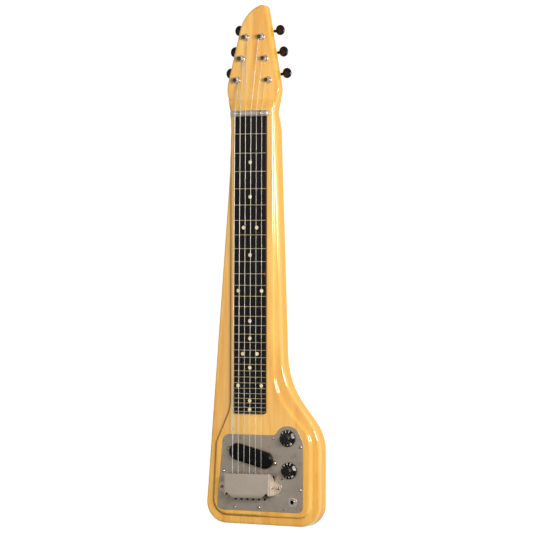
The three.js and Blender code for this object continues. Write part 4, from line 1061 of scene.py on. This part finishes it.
def make_controls():
    for number, (x, y) in enumerate(KNOBS, 1):
        make_knob(number, x, y)
    piece(moved(turned(JACK_BARREL, 40), *JACK), "jack_barrel", NICKEL, "nickel", "jack_body")
    piece(moved(turned(JACK_LINING, 32), *JACK), "jack_lining", MATT_BLACK, "black_plastic")
    washer = moved(turned(lifted(JACK_WASHER, PLATE_TOP), 48, closed=True), *JACK)
    piece(washer, "jack_washer", NICKEL, "nickel")
    crown = turned(lifted(JACK_CROWN, PLATE_TOP), 40)
    nut = common(turned(lifted(JACK_NUT, PLATE_TOP), 6), crown)
    cut(nut, hole(0, 0, JACK_HOLE, sides=40))
    piece(moved(nut, *JACK, 0, 0.2), "jack_hex_nut", NICKEL, "nickel", "jack_nut", bevel=0.12)


# Tuners


def make_ferrule(name, post):
    slope = [(FERRULE_RIM - FERRULE_SLOPE * (1 - cos(a)), 26.7 + FERRULE_SLOPE * sin(a)) for a in evenly(6)]
    profile = [(FERRULE_BORE, 18.3), (4.4, 18.3), (4.4, 26.3), (FERRULE_RIM, 26.3)]
    profile += [*slope, (4.1, 27.8), (FERRULE_BORE, 27.4)]
    piece(moved(turned(profile, 48, closed=True), *post), f"{name}_ring", NICKEL, "nickel", name)


def make_post(label, side, post, turn):
    """A string post with its gear, whose valley lies where the worm comes in."""
    toward_worm = side * pi / 2

    def toothed(radius, level, angle):
        if radius > 4.5:
            return radius - TOOTH_DEPTH * cos(GEAR_TEETH * (angle - toward_worm))
        return radius

    low, high, rim = SHAFT_LEVEL - GEAR_HALF, SHAFT_LEVEL + GEAR_HALF, GEAR_RADIUS - GEAR_BEVEL
    profile = [
        (0, low), (rim, low), (GEAR_RADIUS, low + GEAR_BEVEL), (GEAR_RADIUS, high - GEAR_BEVEL), (rim, high),
        (POST_RADIUS, high), (POST_RADIUS, POST_TOP - 0.7), (POST_RADIUS - 0.25, POST_TOP - 0.25),
        (POST_RADIUS - POST_ROUND, POST_TOP), (0, POST_TOP),
    ]
    spindle = turned(profile, 112, reach=toothed)
    cut(spindle, moved(laid(turned([(STRING_BORE, -6), (STRING_BORE, 6)], 20), pi / 2), z=STRING_BORE_LEVEL))
    node = f"post_{label}"
    piece(moved(spindle, *post, 0, turn), f"{node}_spindle", AGED_NICKEL, "nickel", node, body=node)


def make_key(label, side, post, turn):
    """A worm shaft and its button, drawn along x from the post and then laid at its place."""
    toward_gear = pi if side > 0 else 0
    inner, outer = -WORM_HALF - 2.4, BUTTON_PLACE - BUTTON_HALF[0] + 2.7
    thread = [(WORM_RADIUS, up - WORM_HALF) for up in evenly(14 * WORM_TURNS, 2 * WORM_HALF)]

    def threaded(radius, level, angle):
        if radius != WORM_RADIUS:
            return radius
        return radius + TOOTH_DEPTH * cos(2 * pi * level / THREAD_PITCH - (angle - toward_gear))

    profile = [
        (0, inner), (SHAFT_RADIUS, inner), (SHAFT_RADIUS, -WORM_HALF - 0.3), *thread,
        (SHAFT_RADIUS, WORM_HALF + 0.3), (SHAFT_RADIUS, outer), (0, outer),
    ]
    worm = moved(laid(turned(profile, 32, reach=threaded)), 0, side * DRIVE_DISTANCE, SHAFT_LEVEL)
    body, node = f"key_{label}", f"worm_shaft_{label}"
    piece(moved(worm, *post, 0, turn), f"{node}_threaded", NICKEL, "nickel", node, body=body)

    long, wide, thick = BUTTON_HALF
    oval = [[
        (-long * cos(a), wide * sin(a) * cos(b), thick * sin(a) * sin(b) * (0.86 + 0.14 * cos(b) ** 2))
        for b in evenly(32, 2 * pi)[:-1]
    ] for a in evenly(20, pi)]
    button = join(loft(oval), moved(laid(turned(BUTTON_COLLAR, 28)), -long))
    cut(button, moved(laid(turned([(1.8, -5), (1.8, 3)], 20)), -long))
    moved(button, BUTTON_PLACE, side * DRIVE_DISTANCE, SHAFT_LEVEL)
    node = f"button_{label}"
    piece(moved(button, *post, 0, turn), f"{node}_moulded", BUTTON_BLACK, "black_plastic", node, body=body)


def make_strip(label, side, middle, turn):
    """The plate that carries three tuners, with its lugs and screws."""
    top = HEAD_BACK - GAP
    bottom = top - STRIP_SHEET
    shift = side * DRIVE_DISTANCE / 2
    half_length = TUNER_PITCH + STRIP_END
    plate = moved(raised(stadium(half_length, STRIP_HALF_WIDTH), bottom, top), turn=pi / 2)
    moved(plate, y=shift)
    for row in (-TUNER_PITCH, 0, TUNER_PITCH):
        y = row + side * DRIVE_DISTANCE
        for start in (-WORM_HALF - 1.8, WORM_HALF + 0.6):
            lug = block(start, start + STRIP_SHEET, y - LUG_HALF_WIDTH, y + LUG_HALF_WIDTH, 0.5, bottom + 0.6)
            join(plate, lug)
        bearing = laid(turned([(SHAFT_RADIUS + 0.35, -STRIP_END), (SHAFT_RADIUS + 0.35, STRIP_END)], 24))
        cut(plate, moved(bearing, 0, y, SHAFT_LEVEL), hole(0, row, FERRULE_BORE, 4, 10, 32))
    moved(plate, *middle, 0, turn)
    piece(plate, f"{label}_strip", NICKEL, "nickel", label, bevel=0.25)
    maker = random.Random(label)
    heads = []
    end = half_length - STRIP_SCREW
    for y in (shift + end, shift - end, shift + TUNER_PITCH / 2, shift - TUNER_PITCH / 2):
        head = screw_head(*STRIP_HEAD, 0, maker.uniform(0, pi))
        head.data.transform(Matrix.Rotation(pi, 4, "X"))
        heads.append(moved(head, 0, y, bottom))
    piece(moved(gathered(heads), *middle, 0, turn), f"{label}_screws", SCREW_METAL, "nickel")


def make_tuners():
    for side, middle, posts, turn in STRIPS:
        name = "bass" if side < 0 else "treble"
        make_strip(f"tuner_plate_{name}", side, middle, turn)
        for row, post in enumerate(posts, 1):
            label = f"{name}_{row}"
            make_ferrule(f"ferrule_{label}", post)
            make_post(label, side, post, turn)
            make_key(label, side, post, turn)


# Strings


def softened(points):
    """A route whose inner corners are drawn round."""
    route = [points[0]]
    for before, corner, after in zip(points, points[1:], points[2:]):
        start = corner + (before - corner).normalized() * BEND_REACH
        end = corner + (after - corner).normalized() * BEND_REACH
        route += curved(start, corner, end, 6)
    return route


def winding(nut_point, post, side, diameter, steps=28):
    """The turns of a string round its post, climbing from the side where it comes in."""
    radius = POST_RADIUS + 0.3 + diameter / 2
    to_nut = Vector((nut_point.x - post.x, nut_point.y - post.y))
    start = atan2(to_nut.y, to_nut.x) - side * acos(radius / to_nut.length)
    floor = HEAD_FACE + 2.4 + diameter / 2
    points = []
    for index in range(round(COIL_TURNS * steps) + 1):
        angle = start - side * index / steps * 2 * pi
        level = floor + index / steps * (diameter + COIL_GAP)
        points.append(Vector((post.x + radius * cos(angle), post.y + radius * sin(angle), level)))
    return points


def tube(points, radius, sides=10):
    """A round wire along points."""
    rings = []
    across = Vector((1, 0, 0))
    for index, point in enumerate(points):
        ahead = (points[min(index + 1, len(points) - 1)] - points[max(index - 1, 0)]).normalized()
        across = (across - ahead * across.dot(ahead)).normalized()
        up = ahead.cross(across)
        rings.append([
            point + (across * cos(a) + up * sin(a)) * radius
            for a in evenly(sides, 2 * pi)[:-1]
        ])
    return loft(rings)


def make_strings():
    count = len(STRING_DIAMETERS)
    for index, diameter in enumerate(STRING_DIAMETERS):
        side = -1 if index < count / 2 else 1
        row = index if side < 0 else count - 1 - index
        post = STRIPS[(side + 1) // 2][2][row]
        hole_x = places(HOLE_SPACING)[index]
        nut_point = Vector((places(NUT_SPACING)[index], STRING_LENGTH + 2.5, NUT_STRING_LEVEL))
        turns = winding(nut_point, post, side, diameter)
        route = softened([
            Vector((hole_x, STRING_HOLE_Y, 1.5)),
            Vector((hole_x, STRING_HOLE_Y, PLATE_TOP)),
            Vector((places(BRIDGE_SPACING)[index], 0, BRIDGE_STRING_LEVEL)),
            nut_point,
            turns[0],
        ])
        wire = tube(route + turns, diameter / 2)
        ball = moved(turned(STRING_BALL, 24), hole_x, STRING_HOLE_Y)
        name = f"string_{count - index}"
        look = WOUND if index < WOUND_STRINGS else STEEL
        piece(gathered([wire, ball]), f"{name}_wire", look, "string_steel", name, crease=60)


# Scene


def dress_inner_nodes():
    """Materials for the pieces whose shape stays as it is."""
    looks = {
        "pickup_coil": COIL, "capacitor": COIL, "pickup_magnet": MAGNET,
        "pot_1": NICKEL, "pot_2": NICKEL, "pot_shaft_1": BRASS, "pot_shaft_2": BRASS,
    }
    for name, look in looks.items():
        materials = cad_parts[name].data.materials
        materials.clear()
        materials.append(look)


def make_camera():
    """A long lens that looks down from the treble side."""
    camera = placed("camera", bpy.data.cameras.new("camera"))
    camera.data.lens = LENS
    place = Matrix.Translation(at(*AIM))
    for angle, axis in ((YAW, "Y"), (PITCH, "X"), (ROLL, "Z")):
        place @= Matrix.Rotation(radians(angle), 4, axis)
    camera.matrix_world = place @ Matrix.Translation((0, 0, DISTANCE))
    bpy.context.scene.camera = camera


def make_light(name, place, size, power):
    """A soft panel that faces the middle of the guitar."""
    data = bpy.data.lights.new(name, "AREA")
    data.shape = "RECTANGLE"
    data.size, data.size_y = size
    data.energy = power
    light = placed(name, data)
    light.location = place
    light.rotation_euler = (Vector(place) - Vector((0, 0, 0.03))).to_track_quat("Z", "Y").to_euler()


def make_studio():
    """A plain pale floor, with soft light from the treble side and a dim panel at the bass side."""
    corners = [(x * FLOOR_HALF, y * FLOOR_HALF, FLOOR_LEVEL) for x, y in CORNER_SIGNS]
    floor = solid(corners, [(0, 1, 2, 3)])
    floor.name = "floor"
    material, tree = new_material("floor", emission_color=(1, 1, 1, 1), emission_strength=1, roughness=0.9)
    cloud = noise(tree, 3, 3, 3)
    linked(material, base_color=mixed(tree, cloud, (89, 89, 89), (97, 97, 97)))
    floor.data.materials.append(material)
    make_light("key", place=(1.18, 0.3, 1.24), size=(0.4, 0.8), power=33.5)
    make_light("panel", place=(-1.05, 0.15, 2.3), size=(1.1, 1.9), power=4.3)
    world = bpy.data.worlds.new("studio")
    world.use_nodes = True
    background = world.node_tree.nodes["Background"]
    background.inputs["Color"].default_value = (1, 1, 1, 1)
    background.inputs["Strength"].default_value = ROOM_LIGHT
    bpy.context.scene.world = world
    bpy.context.scene.view_settings.view_transform = "Standard"


make_camera()
make_studio()
make_body()
make_fretboard()
make_nut()
make_plate()
make_pickup()
make_cover()
make_bridge()
make_controls()
make_tuners()
make_strings()
dress_inner_nodes()
